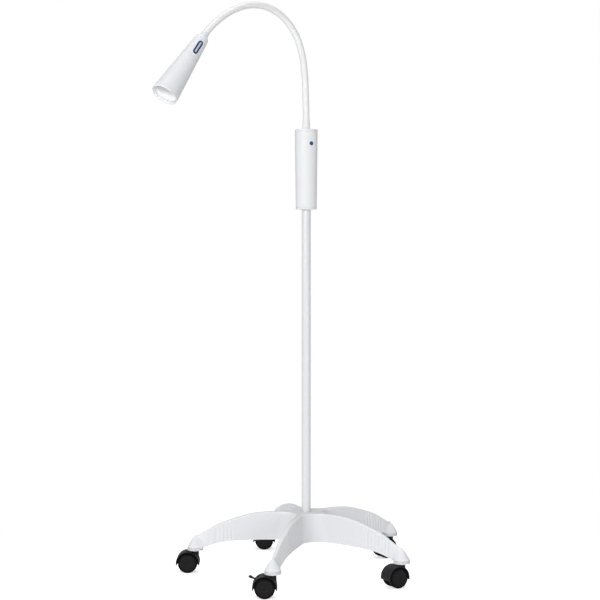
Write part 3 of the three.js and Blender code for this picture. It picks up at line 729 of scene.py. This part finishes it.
def star_field(x, y, z):
    # fold all legs onto one
    angle = np.arctan2(y, x) - FIRST_LEG
    angle = angle - np.round(angle / SECTOR) * SECTOR
    r = np.hypot(x, y)
    along, across = r * np.cos(angle), np.abs(r * np.sin(angle))
    top, bottom = LEG_TOP(r), LEG_BOTTOM(r)
    rib = rib_depth(r)
    # ribbed legs with a crowned top
    t = np.clip((z - bottom) / (top - bottom), -0.3, 1.1)
    plain = leg_side(along, across, LEG_HALF_WIDTH + (LEG_TOP_WIDTH(r) - LEG_HALF_WIDTH) * t)
    side = plain + RIB_DEPTH * rib * np.clip((z - bottom) / 6.0, 0.25, 1)
    leg = np.clip((r - 70) / 50, 0, 1)
    crown = top - leg * 0.016 * np.minimum(across, 12) ** 2 - 0.7 * rib
    body = round_cross(side, (z - crown) * 0.95, 3.2)
    body = round_cross(body, bottom - z, 0.9)
    # socket at the tip
    stem = np.hypot(along - STEM_R, across)
    cone = round_cross((stem - SOCKET(z)) * 0.84, 57.0 - z, 0.9)
    body = round_join(body, cone, 8.5)
    # pockets in the underside, parted by cross walls: (middle, half length) along the leg
    thicker = 2.0 * np.clip((r - 183) / 6, 0, 1)
    pocket = round_cross(plain + WALL + thicker, z - (top - WALL), 1.6)
    spans = [np.abs(r - middle) - half for middle, half in ((73, 45), (154.5, 33.5), (224.5, 33.5))]
    pocket = round_cross(pocket, np.minimum(np.minimum(spans[0], spans[1]), spans[2]), 1.2)
    body = round_cross(body, -pocket, 0.6)
    # stem bore, pole hole, bolt hole and the recess under it
    for hole in (np.maximum(stem - 5.8, z - 82.0), np.maximum(r - 11.8, 98.3 - z),
                 r - 4.4, np.maximum(r - 15.5, z - 93.2)):
        body = np.maximum(body, -hole)
    return body


def stem_place(leg):
    angle = FIRST_LEG + leg * SECTOR
    return np.array([STEM_R * math.cos(angle), STEM_R * math.sin(angle), 0.0])


def build_base():
    star = surface_nets(star_field, (-307, -307, 54), (307, 307, 159), STAR_STEP, rounds=3)
    verts, faces = turned(COLLAR, COLLAR_RADII, 3, 72)
    collars = [(verts + stem_place(leg), faces) for leg in range(5)]
    part("base_star_body", merge([star, *collars]), BASE_WHITE, "root", "base_star", sharp=48)


# ------------------------------------------------------------------ pole and its fixing

POLE_R = 11.4
POLE_BORE = 9.9
POLE_BOTTOM, POLE_TOP = 98.4, 990
BOLT_FLATS = 13
# (largest radius, height) of the bolt's hexagonal head
BOLT_HEAD = [(6.45, 84.5), (6.9, 84.75), (7.3, 85.3), (7.6, 86.2), (7.6, 89.4), (7.2, 90.0)]
THREAD_START, THREAD_TURNS = 98, 26         # one turn per millimetre
BOLT_TIP = 124


def hex_ring(limit, z):
    """A hexagon across its flats, its corners cut back to a radius."""
    ring = []
    for a in angles(48):
        r = BOLT_FLATS / 2 / math.cos(a % (math.pi / 3) - math.pi / 6)
        r = min(r, limit)
        ring.append((r * math.cos(a), r * math.sin(a), z))
    return np.array(ring)


def circle(r, z):
    a = angles(48)
    return np.stack([r * np.cos(a), r * np.sin(a), np.full(48, z)], 1)


def build_pole():
    outer = [(POLE_R, z) for z in (POLE_BOTTOM, 300, 600, POLE_TOP)]
    inner = [(POLE_BORE, z) for z in (POLE_TOP, 600, 300)]
    tube = turned([(POLE_BORE, POLE_BOTTOM)] + outer + inner,
                  {0: 0.3, 1: 0.4, 4: 0.4, 5: 0.3}, 3, 72)
    part("pole", tube, POLE_WHITE, "root", "pole_tube")

    rings = [hex_ring(limit, z) for limit, z in BOLT_HEAD]
    rings += [circle(4.0, 90.0), circle(4.0, 91.0)]
    for z in range(THREAD_START, THREAD_START + THREAD_TURNS):
        rings += [circle(3.95, z), circle(3.55, z + 0.5)]
    rings += [circle(3.9, BOLT_TIP - 0.7), circle(3.3, BOLT_TIP)]
    part("bolt", loft(rings), STEEL, "root", "pole_bolt", sharp=25)

    washer = turned([(4.4, 90.1), (14.5, 90.1), (14.5, 93.0), (4.4, 93.0)],
                    dict.fromkeys(range(4), 0.45), 3, 48)
    part("washer", washer, STEEL, "root", "pole_washer")
    insert = turned([(4.3, 98.6), (9.6, 98.6), (9.6, 128), (4.3, 128)],
                    dict.fromkeys(range(4), 0.5), 3, 40)
    part("foot_insert", insert, STEEL, "root", "pole_foot_insert")


# ------------------------------------------------------------------ driver housing

HOUSING_BOTTOM, HOUSING_TOP = 932, 1135.5   # with its caps
SHELL_BOTTOM, SHELL_TOP = 937.0, 1129.5
HOUSING_WALL = 2.4
# (direction in degrees from +X, height) of the side features
BUTTON_AT = (-62.3, 1098.9)
INLET_AT = (90, 962)
CLAMP_SCREW_AT = (270, 950)


def housing_r(z):
    """The housing widens by 2.4 from its bottom to its top."""
    return 26.6 + 2.4 * (z - HOUSING_BOTTOM) / (HOUSING_TOP - HOUSING_BOTTOM)


def side_drill(r, start, end, at, points=48):
    """A cylinder along a radius of the housing."""
    degrees, z = at
    a = angles(points)
    verts, faces = loft([np.stack([np.full(points, x), r * np.cos(a), r * np.sin(a)], 1)
                         for x in (start, end)])
    c, s = math.cos(math.radians(degrees)), math.sin(math.radians(degrees))
    matrix = np.array([[c, -s, 0], [s, c, 0], [0, 0, 1]])
    return to_world(verts, (np.array([0, 0, z]), matrix)), faces


def radial(at):
    """Axes with Z outwards along a radius, X up and Y across."""
    degrees, z = at
    c, s = math.cos(math.radians(degrees)), math.sin(math.radians(degrees))
    return np.array([0, 0, z]), np.array([[0, -s, c], [0, c, s], [1, 0, 0]])


def build_housing():
    heights = (SHELL_BOTTOM, 948, 957, 967, 980, 1010, 1040, 1070, 1092, 1108, 1120, SHELL_TOP)
    outer = [(housing_r(z), z) for z in heights]
    inner = [(housing_r(z) - HOUSING_WALL, z) for z in (SHELL_TOP, 1060, 1000, SHELL_BOTTOM)]
    verts, faces = turned(outer + inner, {0: 0.5, 11: 0.5, 12: 0.3, 15: 0.3}, 3, 96)
    shell = mesh_object("housing_body", verts, faces, HOUSING_WHITE)
    cut(shell, [side_drill(5.3, 20, 40, BUTTON_AT), side_drill(4.6, 15, 40, INLET_AT)])
    place(shell, "root", "housing_shell")

    top = HOUSING_TOP
    cap = turned([
        (6.4, top - 9), (25.4, top - 9), (25.4, SHELL_TOP + 0.2),
        (housing_r(SHELL_TOP) - 0.1, SHELL_TOP + 0.2), (housing_r(top) - 0.15, top - 1.2),
        (housing_r(top) - 1.9, top), (6.4, top),
    ], {1: 0.3, 3: 0.35, 4: 1.0, 5: 1.0, 6: 0.4}, 4, 96)
    part("housing_cap_top", cap, HOUSING_WHITE, "root", "housing_top_cap")

    verts, faces = turned([
        (11.6, 932), (25.2, 932), (26.4, 933.2), (housing_r(SHELL_BOTTOM) - 0.1, 936.8),
        (23.4, 936.8), (23.4, 942), (15.6, 942), (15.6, 985), (11.6, 985),
    ], {0: 0.6, 1: 0.8, 2: 0.8, 3: 0.35, 7: 0.4, 8: 0.4}, 4, 96)
    cap = mesh_object("housing_cap_bottom", verts, faces, HOUSING_WHITE)
    cut(cap, [side_drill(2.3, 8, 22, CLAMP_SCREW_AT, 24)])
    place(cap, "root", "housing_bottom_cap")


def build_housing_fittings():
    # profiles are (radius, distance from the pole's axis)
    face = housing_r(BUTTON_AT[1]) + 0.5
    button = turned([
        (0, 20.1), (2.0, 20.1), (2.0, 23.6), (5.0, 23.6), (5.0, face), (3.6, face),
        (3.1, face - 0.28), (0, face - 0.4),
    ], {1: 0.3, 3: 0.3, 4: 0.7, 5: 0.3, 6: 0.3}, 4, 64)
    part("button_power", button, BUTTON_BLUE, "power_button", "power_button", radial(BUTTON_AT))

    face = housing_r(INLET_AT[1]) + 0.4
    inlet = turned([
        (0, 16.4), (4.3, 16.4), (4.3, face), (2.8, face), (2.8, 19), (0.9, 19), (0.9, 25.0),
        (0, 25.4),
    ], {1: 0.2, 2: 0.4, 3: 0.3}, 3, 48)
    part("inlet", inlet, PART_BLACK, "root", "power_inlet", radial(INLET_AT))

    screw = revolve([(0, 11.5), (2.0, 11.5), (2.0, 17.6), (1.6, 18.0), (1.0, 18.0), (1.0, 16.8),
                     (0, 16.6)], 24)
    part("clamp_screw", screw, STEEL, "root", "pole_clamp_screw", radial(CLAMP_SCREW_AT),
         sharp=30)


# ------------------------------------------------------------------ gooseneck

JOINT_POINTS = np.array([np.array(j["pos_m"], float) * 1000 + [0, 0, FLOOR] for j in ARM_JOINTS])
NECK_SIDE = np.array([math.sin(math.radians(221.5)), -math.cos(math.radians(221.5)), 0.0])
SLEEVE_R = 8.3
SLEEVE_STEP = 3.2           # between rings
BLEND_REACH = 22.0          # along the sleeve, to each side of a joint
END_REACH = 3.2             # the same at the two ends of the neck


def build_ferrule():
    ferrule = turned([
        (2.4, 1119.5), (6.0, 1119.5), (6.0, 1135.7), (10.1, 1135.7), (9.95, 1140), (9.55, 1147),
        (9.1, 1154), (8.85, 1158.5), (8.3, 1158.5), (2.4, 1156.5),
    ], {1: 0.3, 3: 0.4, 7: 0.35}, 4, 56)
    part("neck_ferrule", ferrule, HOUSING_WHITE, "root", "neck_base_ferrule")


def sleeve_ring(point, tangent):
    side = unit(NECK_SIDE - tangent * (NECK_SIDE @ tangent))
    up = np.cross(tangent, side)
    a = angles(40)[:, None]
    return point + SLEEVE_R * (np.cos(a) * side + np.sin(a) * up)


def build_sleeves():
    """One length of sleeve per joint, parted from its neighbours midway between the joints."""
    end = JOINT_POINTS[-1]
    lengths, path_at = chord_spline(np.vstack([
        [0, 0, 1125.0], [0, 0, 1143.0], JOINT_POINTS, end + HEAD_DIR * 8.0,
        end + HEAD_DIR * 22.0]))
    count = len(JOINT_POINTS)
    joints = lengths[2:2 + count]
    middles = [(a + b) / 2 for a, b in zip(joints[:-1], joints[1:])]
    cuts = [joints[0] - 10.5] + middles + [joints[-1] + 9.0]
    for k in range(count):
        a, b = cuts[k], cuts[k + 1]
        steps = max(8, int(round((b - a) / SLEEVE_STEP)))
        rings = [sleeve_ring(*path_at(a + (b - a) * i / steps)) for i in range(steps + 1)]
        ob = mesh_object(f"sleeve_{k + 1:02d}", *loft(rings), SLEEVE_WHITE, sharp=50)
        point, tangent = path_at(joints[k])
        before = BLEND_REACH if k > 0 else END_REACH
        after = BLEND_REACH if k < count - 1 else END_REACH
        tuple(to_metres(point - tangent * before))
        tuple(to_metres(point + tangent * after))
        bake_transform(ob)
        if k < count - 1:
            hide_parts(f"neck_link_{k + 1:02d}")


# ------------------------------------------------------------------ lamp head

# The head's Z runs from the last joint towards the lens; profiles are (radius, z).
HEAD = axes(JOINT_POINTS[-1], HEAD_X, HEAD_DIR)
CONE_START, CONE_END = 33, 195.3
CONE_START_R, CONE_END_R = 17.7, 32.3
SWITCH_Z = 56.0
SINK_STEP = 0.8


def cone_r(z):
    slope = (CONE_END_R - CONE_START_R) / (CONE_END - CONE_START)
    return CONE_START_R + slope * (z - CONE_START)


def stadium(half_length, half_width):
    """Stadium outline as 48 (across, along) points."""
    arc_steps, straight_steps = 14, 10
    h = half_length - half_width
    points = []
    for sign in (1, -1):
        for i in range(arc_steps + 1):
            a = math.pi * i / arc_steps
            points.append((sign * half_width * math.cos(a),
                           sign * (h + half_width * math.sin(a))))
        for i in range(1, straight_steps):
            points.append((-sign * half_width, sign * (h - 2 * h * i / straight_steps)))
    return np.array(points)


def on_cone(outline, height):
    """(across, along) points about the switch's middle, laid at a height above the cone."""
    across, along = outline.T
    z = SWITCH_Z + along
    r = cone_r(z) + height
    return np.stack([r * np.cos(across / r), r * np.sin(across / r), z], 1)


def build_head_shell():
    collar = turned([
        (6.9, -0.6), (8.3, 1.6), (9.2, 2.6), (9.45, 5.0), (9.45, 12.7), (6.0, 12.7), (6.0, 26),
        (2.4, 26), (2.4, 2.0),
    ], {1: 0.3, 2: 0.8, 3: 1.2, 4: 0.5, 5: 0.2, 6: 0.3, 7: 0.3}, 4, 64)
    part("head_collar", collar, HEAD_WHITE, "lamp_head", "head_ferrule", HEAD)

    shoulder = spline([(9.9, 13.0), (12.4, 13.7), (14.3, 15.8), (15.75, 19.2), (16.8, 25.2),
                       (17.55, 33.0)], per=6)
    cone = [(cone_r(z), z) for z in (45, 60, 80, 100, 120, 140, 160, 178, 190, CONE_END)]
    inside = [(30.3, CONE_END), (27.0, 160), (22.2, 105), (15.7, 33), (14.2, 22.4), (11.2, 17.4),
              (6.3, 16.6), (6.3, 13.0)]
    outside = [*shoulder, *cone]
    profile = outside + inside
    rim = len(outside)
    verts, faces = turned(profile, {rim - 1: 0.4, rim: 0.3, len(profile) - 1: 0.3}, 3, 120)
    shell = mesh_object("head_body", to_world(verts, HEAD), faces, HEAD_WHITE)
    # opening for the switch
    verts, faces = loft([on_cone(stadium(19.3, 5.1), height) for height in (-6.0, 4.0)])
    cut(shell, [(to_world(verts, HEAD), faces)])
    place(shell, "lamp_head", "head_shell")


def build_switch():
    # raised surround: (inset from the outer or outset from the inner outline, height)
    outer = [(1.5, -3.2), (1.5, 0.05), (0, 0.05), (0, 0.45), (0.15, 0.72), (0.5, 0.88),
             (1.4, 0.95)]
    inner = [(0.9, 0.93), (0.35, 0.8), (0.08, 0.5), (0, 0.1), (0, -3.2)]
    rings = [on_cone(stadium(20.5 - inset, 6.3 - inset), height) for inset, height in outer]
    rings += [on_cone(stadium(16.0 + outset, 2.4 + outset), height) for outset, height in inner]
    verts = np.concatenate(rings)
    faces = outward(verts, bridge(len(rings), len(rings[0]), closed=True))
    part("switch_frame", (verts, faces), NAVY, "lamp_head", "switch_surround", HEAD, sharp=50)

    # key, (inset, height), with a shallow channel across the middle of its top
    rings = []
    for inset, height in ((0, -3.0), (0, 0.75), (0.12, 1.02), (0.4, 1.18), (0.8, 1.25),
                          (1.2, 1.29), (1.5, 1.3), (1.8, 1.3)):
        outline = stadium(15.7 - inset, 2.1 - inset)
        ring = on_cone(outline, height)
        if height > 1.2:
            away = ring * (1, 1, 0)
            away /= np.linalg.norm(away, axis=1)[:, None]
            ring -= away * (0.32 * np.exp(-(outline[:, 1:] / 1.1) ** 2))
        rings.append(ring)
    size = len(rings[0])
    first, end = (len(rings) - 1) * size, len(rings) * size
    faces = bridge(len(rings), size)
    # quads across the narrow top, and a fan below
    faces += [(first + i, first + i + 1, end - 2 - i, end - 1 - i) for i in range(size // 2 - 1)]
    faces += fan(0, size, end)
    verts = np.vstack([*rings, rings[0].mean(0)])
    part("switch_key", (verts, outward(verts, faces)), PALE_BLUE, "switch_pad", "switch_pad",
         HEAD, sharp=60)


def build_optics():
    bezel = turned([
        (27.4, 187), (29.3, 187), (29.9, 195.4), (32.3, 195.6), (32.9, 200.6), (32.7, 202.4),
        (31.2, 202.4), (29.6, 199.6), (29.4, 194.2), (27.4, 194.2),
    ], {1: 0.3, 3: 0.5, 4: 0.8, 5: 0.7, 6: 0.7, 7: 1.2, 9: 0.3}, 4, 120)
    part("bezel", bezel, BEZEL_WHITE, "lamp_head", "head_bezel", HEAD)

    lens = [(0, 194.4), (28.6, 194.4), (29.0, 194.8), (29.0, 195.7), (28.6, 196.0),
            (26.8, 196.15)]
    for k in range(9):                          # shallow concentric steps
        r = 26.0 - k * 2.4
        z = 196.2 + 1.55 * (1 - (r / 26.0) ** 2)
        lens += [(r + 0.5, z - 0.02), (r, z + 0.22), (r - 1.7, z + 0.24)]
    lens += [(3.6, 197.85), (0, 197.9)]
    part("lens_front", revolve(lens, 96), [LENS, LENS_EDGE], "lamp_head", "front_lens", HEAD,
         materials_by_radius(lens, 26.5, inside=0, outside=1, segments=96), sharp=30)

    back = spline([(8.6, 167), (12.3, 169.4), (15.5, 173), (19.1, 177.6), (22.0, 182.5),
                   (24.8, 188.2), (26.9, 194.0)], per=4)
    front = spline([(25.8, 194.0), (23.8, 188.8), (20.9, 183), (18.0, 178.2), (14.7, 174),
                    (11.3, 170.6), (7.6, 168)], per=4)
    part("reflector_cup", revolve([*back, *front], 72), CHROME, "lamp_head", "reflector", HEAD)

    led = turned([
        (0, 162.2), (12, 162.2), (12, 164.0), (5.0, 164.0), (4.4, 164.2), (4.4, 165.0),
        (3.9, 166.3), (2.2, 167.5), (0, 167.8),
    ], {1: 0.2, 2: 0.2}, 3, 64)
    part("led_module", led, LED, "lamp_head", "led_board", HEAD)


def sink_field(x, y, z):
    """A cylinder with eight slots cut in from its side."""
    r = np.hypot(x, y)
    body = round_cross(np.maximum(r - 19.0, 118.0 - z), z - 162.0, 0.6)
    pitch = math.radians(45)
    angle = np.arctan2(y, x) - pitch / 2
    angle = angle - np.round(angle / pitch) * pitch
    along, across = r * np.cos(angle), r * np.sin(angle)
    slot = np.maximum(np.maximum(np.abs(across) - 1.6, 8.0 - along), z - 156.0)
    return round_cross(body, -slot, 0.5)


def build_heat_sink():
    sink = surface_nets(sink_field, (-20, -20, 116), (20, 20, 164), SINK_STEP, rounds=2)
    part("heat_spreader", sink, ALU, "lamp_head", "heat_sink", HEAD, sharp=48)


# ------------------------------------------------------------------ castors

# A castor's own axes: its stem along Z, its axle along Y, its wheels TRAIL along X.
# (name, turn about the stem in degrees) in the order of the legs
CASTORS = [("front", 180), ("right", 210), ("rear_right", 210), ("rear_left", 180),
           ("left", 180)]
TRAIL = 19.3
AXLE_Z = 25.0
AXLE = np.array([TRAIL, 0, AXLE_Z])
HOOD_STEP = 0.8
# (radius, distance from the castor's middle) of one wheel; the tyre lies outside TYRE_R
WHEEL = [
    (3.1, 17.4), (3.1, 5.9), (4.6, 5.7), (8.0, 5.7), (8.6, 6.6), (19.6, 6.6), (20.4, 5.9),
    (22.6, 5.7), (24.0, 6.2), (24.75, 7.4), (24.95, 9.5), (25.0, 12.9), (24.95, 16.4),
    (24.75, 18.3), (24.1, 19.5), (22.9, 20.05), (21.2, 20.1), (20.75, 19.9), (20.6, 19.35),
    (20.3, 19.3), (20.15, 19.85), (19.8, 20.1), (18.6, 20.2), (12.0, 20.33), (5.2, 20.36),
    (4.7, 20.15), (4.3, 19.8), (3.8, 19.75), (1.5, 19.85), (0, 19.9), (0, 17.4),
]
TYRE_R = 20.25
# (x, z from the axle, width, thickness) along the brake lever, out to its hooked end
LEVER = [
    (11.6, 20.4, 9.8, 4.2), (14.4, 20.5, 10.0, 5.4), (18.4, 20.2, 9.8, 3.8),
    (22.4, 20.7, 9.6, 3.2), (26.0, 21.9, 10.2, 3.2), (29.6, 23.5, 13.0, 4.4),
    (32.8, 24.9, 15.4, 5.8), (35.8, 26.0, 15.8, 4.8), (37.8, 26.3, 15.0, 3.2),
    (38.6, 26.3, 13.5, 1.8),
]
# (y, scale of the section) along the friction shoe
SHOE = [(-12.0, 0.6), (-11.6, 0.9), (-10.8, 1.0), (-5.0, 1.0), (0.0, 1.0), (5.0, 1.0),
        (10.8, 1.0), (11.6, 0.9), (12.0, 0.6)]


def castor_axes(leg, degrees):
    c, s = math.cos(math.radians(degrees)), math.sin(math.radians(degrees))
    return stem_place(leg), np.array([[c, -s, 0], [s, c, 0], [0, 0, 1]])


def hood_mesh(brake):
    def field(x, y, z):
        dx, dz = x - TRAIL, z - AXLE_Z
        across = np.abs(y)
        r = np.hypot(dx, dz)
        # outer skin, crowned across its width, with a raised lip along each edge
        skin_r = 30.4 - 0.7 * (across / 20.0) ** 3
        lip = 0.6 * np.clip((across - 16.9) / 0.6, 0, 1)
        skin = round_cross(r - skin_r - lip + 0.35, across - 20.0, 1.3)
        skin = round_cross(skin, 27.4 - r, 0.5)
        skin_end = np.where(dx > 0, -0.158 * dx, -0.176 * np.abs(dx))
        skin = round_cross(skin, skin_end - dz, 0.6)
        # web between the wheels, and the boss around the stem
        web_end = np.interp(dx, [-29, -16, -7, 7, 16, 29], [-5.1, -5, -9, -9, -5, -3.0])
        web = round_cross(np.maximum(across - 5.2, r - 29.6), web_end - dz, 1.0)
        stem = np.hypot(x, y)
        boss = round_cross(np.maximum(stem - 9.2, 30.0 - z), z - 56.6, 1.1)
        body = round_join(round_join(skin, web, 1.2), boss, 3.0)
        wheel_room = np.maximum(r - 26.3, 5.2 - across)
        body = round_cross(body, -wheel_room, 0.4)
        bore = np.maximum(np.maximum(stem - 4.3, 31.5 - z), z - 60)
        axle = np.maximum(r - 3.1, across - 8)
        body = np.maximum(np.maximum(body, -bore), -axle)
        if brake:
            # slot that the lever comes out of
            below = np.maximum(16.4 - dz, (0.72 * dx - dz) * 0.81)
            slot = np.maximum(np.maximum(across - 5.9, 9.4 - dx), below)
            body = round_cross(body, -slot, 0.6)
        return body
    return surface_nets(field, (-14, -22.4, 12), (53, 22.4, 59), HOOD_STEP, rounds=2)


def z_to_y(verts):
    return np.stack([verts[:, 0], verts[:, 2], -verts[:, 1]], 1)


def squarish(value, power):
    """A sine or cosine bent towards a rounded rectangle."""
    return math.copysign(abs(value) ** power, value)


def lever_section(centre, tangent, width, thickness):
    """A rounded rectangle, wide along Y."""
    tangent = unit(tangent)
    normal = np.array([-tangent[2], 0.0, tangent[0]])
    ring = []
    for a in angles(32):
        across = squarish(math.cos(a), 2 / 3.2) * width / 2
        up = squarish(math.sin(a), 2 / 3.2) * thickness / 2
        ring.append(centre + np.array([0, across, 0]) + normal * up)
    return np.array(ring)


def brake_mesh():
    """The lever, and a friction shoe over both treads."""
    path = spline(LEVER, per=5)
    rings = []
    for i, (x, z, width, thickness) in enumerate(path):
        before, after = path[max(0, i - 1)], path[min(len(path) - 1, i + 1)]
        tangent = (after[0] - before[0], 0, after[1] - before[1])
        rings.append(lever_section(AXLE + [x, 0, z], tangent, width, thickness))
    c, s = math.cos(math.radians(45.0)), math.sin(math.radians(45.0))
    shoe_rings = []
    for y, scale in SHOE:
        ring = []
        for a in angles(24):
            r = 26.27 + 0.34 * scale * squarish(math.cos(a), 0.6)
            w = 1.5 * scale * squarish(math.sin(a), 0.6)
            ring.append((TRAIL + r * c - w * s, y, AXLE_Z + r * s + w * c))
        shoe_rings.append(np.array(ring))
    return merge([loft(rings), loft(shoe_rings)])


def build_castors():
    hood, hood_with_slot = hood_mesh(brake=False), hood_mesh(brake=True)
    wheel, wheel_faces = revolve(WHEEL, 72)
    wheel = z_to_y(wheel)
    wheel_materials = materials_by_radius(WHEEL, TYRE_R, inside=1, outside=0, segments=72)
    stem = turned([
        (0, 33), (4.0, 33), (4.0, 56.7), (5.5, 56.9), (5.5, 80), (4.6, 81.2), (0, 81.2),
    ], {1: 0.4, 3: 0.2, 4: 0.5, 5: 0.3}, 3, 32)
    axle, axle_faces = turned([(0, -17.2), (3.0, -17.2), (3.0, 17.2), (0, 17.2)],
                              {1: 0.5, 2: 0.5}, 3, 32)
    axle = z_to_y(axle) + AXLE
    for leg, (name, degrees) in enumerate(CASTORS):
        at = castor_axes(leg, degrees)
        castor = f"castor_{name}"
        fork = f"{castor}_fork"
        part(f"{castor}_cover", hood_with_slot if name == "front" else hood, HOOD_BLACK, fork,
             f"{castor}_hood", at, sharp=50)
        for side, sign in (("a", 1), ("b", -1)):
            body = f"{castor}_wheel_{side}"
            part(f"{castor}_tyre_{side}", (wheel * (sign, sign, 1) + AXLE, wheel_faces),
                 [TREAD_BLACK, DISC_BLACK], body, body, at, wheel_materials, sharp=30)
        part(f"{castor}_pin", stem, STEEL, "root", f"{castor}_stem", at, sharp=30)
        part(f"{castor}_spindle", (axle, axle_faces), STEEL, fork, f"{castor}_axle", at,
             sharp=30)
        if name == "front":
            part("brake_pedal", brake_mesh(), HOOD_BLACK, "brake_lever", "brake_lever", at,
                 sharp=50)


# ------------------------------------------------------------------ CAD nodes that stay

def dress_cad_nodes():
    for name, material in (("driver_board", BOARD), ("power_switch", PART_BLACK),
                           ("head_switch", PART_BLACK)):
        ob = frame["nodes"][name]
        ob.data.materials.clear()
        ob.data.materials.append(material)
        bevel = ob.modifiers.new("edge", "BEVEL")
        bevel.width = 0.00025           # metres
        bevel.segments = 2
        bevel.limit_method = "ANGLE"


# ------------------------------------------------------------------ floor, light, camera (metres)

def floor_material():
    """A white sweep: the camera sees soft shadows near the castors and plain white far off."""
    material, shader = new_material("studio_floor")
    slow = shader.noise(shader.coordinates(), 1.2)
    bsdf = shader.add("BsdfPrincipled", {
        "Base Color": shader.ramp(slow, (0.93, 0.93, 0.935), (0.95, 0.95, 0.95)),
        "Roughness": 0.7,
        "Specular IOR Level": 0.2,
    }).outputs["BSDF"]
    white = (1, 1, 1, 1)
    position = shader.add("NewGeometry").outputs["Position"]
    distance = shader.add("VectorMath", {0: position}, operation="LENGTH").outputs["Value"]
    far = shader.remap(distance, (0.3, 1.0), (0.0, 1.0))
    glow = shader.add("Emission", {"Color": white, "Strength": 0.58}).outputs[0]
    lit = shader.add("AddShader", {0: bsdf, 1: glow}).outputs[0]
    plain = shader.add("Emission", {"Color": white}).outputs[0]
    seen = shader.add("MixShader", {0: far, 1: lit, 2: plain}).outputs[0]
    camera_ray = shader.add("LightPath").outputs["Is Camera Ray"]
    pick = shader.add("MixShader", {0: camera_ray, 1: bsdf, 2: seen})
    shader.add("OutputMaterial", {"Surface": pick.outputs[0]})
    return material


def build_floor():
    half = 30.0
    z = -FLOOR * MM - 0.0002
    mesh = bpy.data.meshes.new("floor")
    corners = [(-half, -half, z), (half, -half, z), (half, half, z), (-half, half, z)]
    mesh.from_pydata(corners, [], [(0, 1, 2, 3)])
    mesh.materials.append(floor_material())
    ob = bpy.data.objects.new("floor", mesh)
    bpy.context.scene.collection.objects.link(ob)


def build_world():
    """White to the camera; as light, grey and brighter from the left."""
    world = bpy.data.worlds.new("studio")
    bpy.context.scene.world = world
    shader = Shader(world)
    generated = shader.add("TexCoord").outputs["Generated"]
    x = shader.add("SeparateXYZ", {"Vector": generated}).outputs["X"]
    level = shader.remap(x, (-1, 1), (1.15, 0.72))
    grey = shader.add("CombineColor", dict.fromkeys(("Red", "Green", "Blue"), level))
    ambient = shader.add("Background", {"Color": grey.outputs["Color"], "Strength": 0.505})
    seen = shader.add("Background", {"Color": (1, 1, 1, 1), "Strength": 1.0})
    camera_ray = shader.add("LightPath").outputs["Is Camera Ray"]
    mix = shader.add("MixShader", {0: camera_ray, 1: ambient.outputs[0], 2: seen.outputs[0]})
    shader.add("OutputWorld", {"Surface": mix.outputs[0]})


def area_light(name, location, target, size, power):
    light = bpy.data.lights.new(name, "AREA")
    light.shape = "DISK"
    light.size = size
    light.energy = power
    light.color = (1, 1, 1)
    ob = bpy.data.objects.new(name, light)
    ob.location = location
    ob.rotation_mode = "QUATERNION"
    ob.rotation_quaternion = (Vector(target) - Vector(location)).to_track_quat("-Z", "Y")
    bpy.context.scene.collection.objects.link(ob)


def build_lights():
    area_light("key", (-2.7, -5.6, 2.5), target=(0, 0, 0.7), size=2.8, power=130)
    area_light("fill", (1.1, -2.4, 0.45), target=(-0.3, -0.15, 1.22), size=0.9, power=8.0)
    area_light("top", (0.2, 0.4, 3.6), target=(0, 0, 0.3), size=2.6, power=39)


def build_camera():
    scene = bpy.context.scene
    data = bpy.data.cameras.new("camera")
    data.sensor_width = 36.0        # millimetres, as is the focal length
    data.lens = 86.22
    data.clip_start = 0.05
    data.clip_end = 100
    camera = bpy.data.objects.new("camera", data)
    camera.location = (-0.0159, -3.678, 0.7785)
    camera.rotation_euler = (math.radians(90 - 2.53), 0, 0)
    scene.collection.objects.link(camera)
    scene.camera = camera
    scene.view_settings.view_transform = "Standard"
    scene.view_settings.look = "None"


build_base()
build_pole()
build_housing()
build_housing_fittings()
build_ferrule()
build_sleeves()
build_head_shell()
build_switch()
build_optics()
build_heat_sink()
build_castors()
dress_cad_nodes()
build_floor()
build_world()
build_lights()
build_camera()
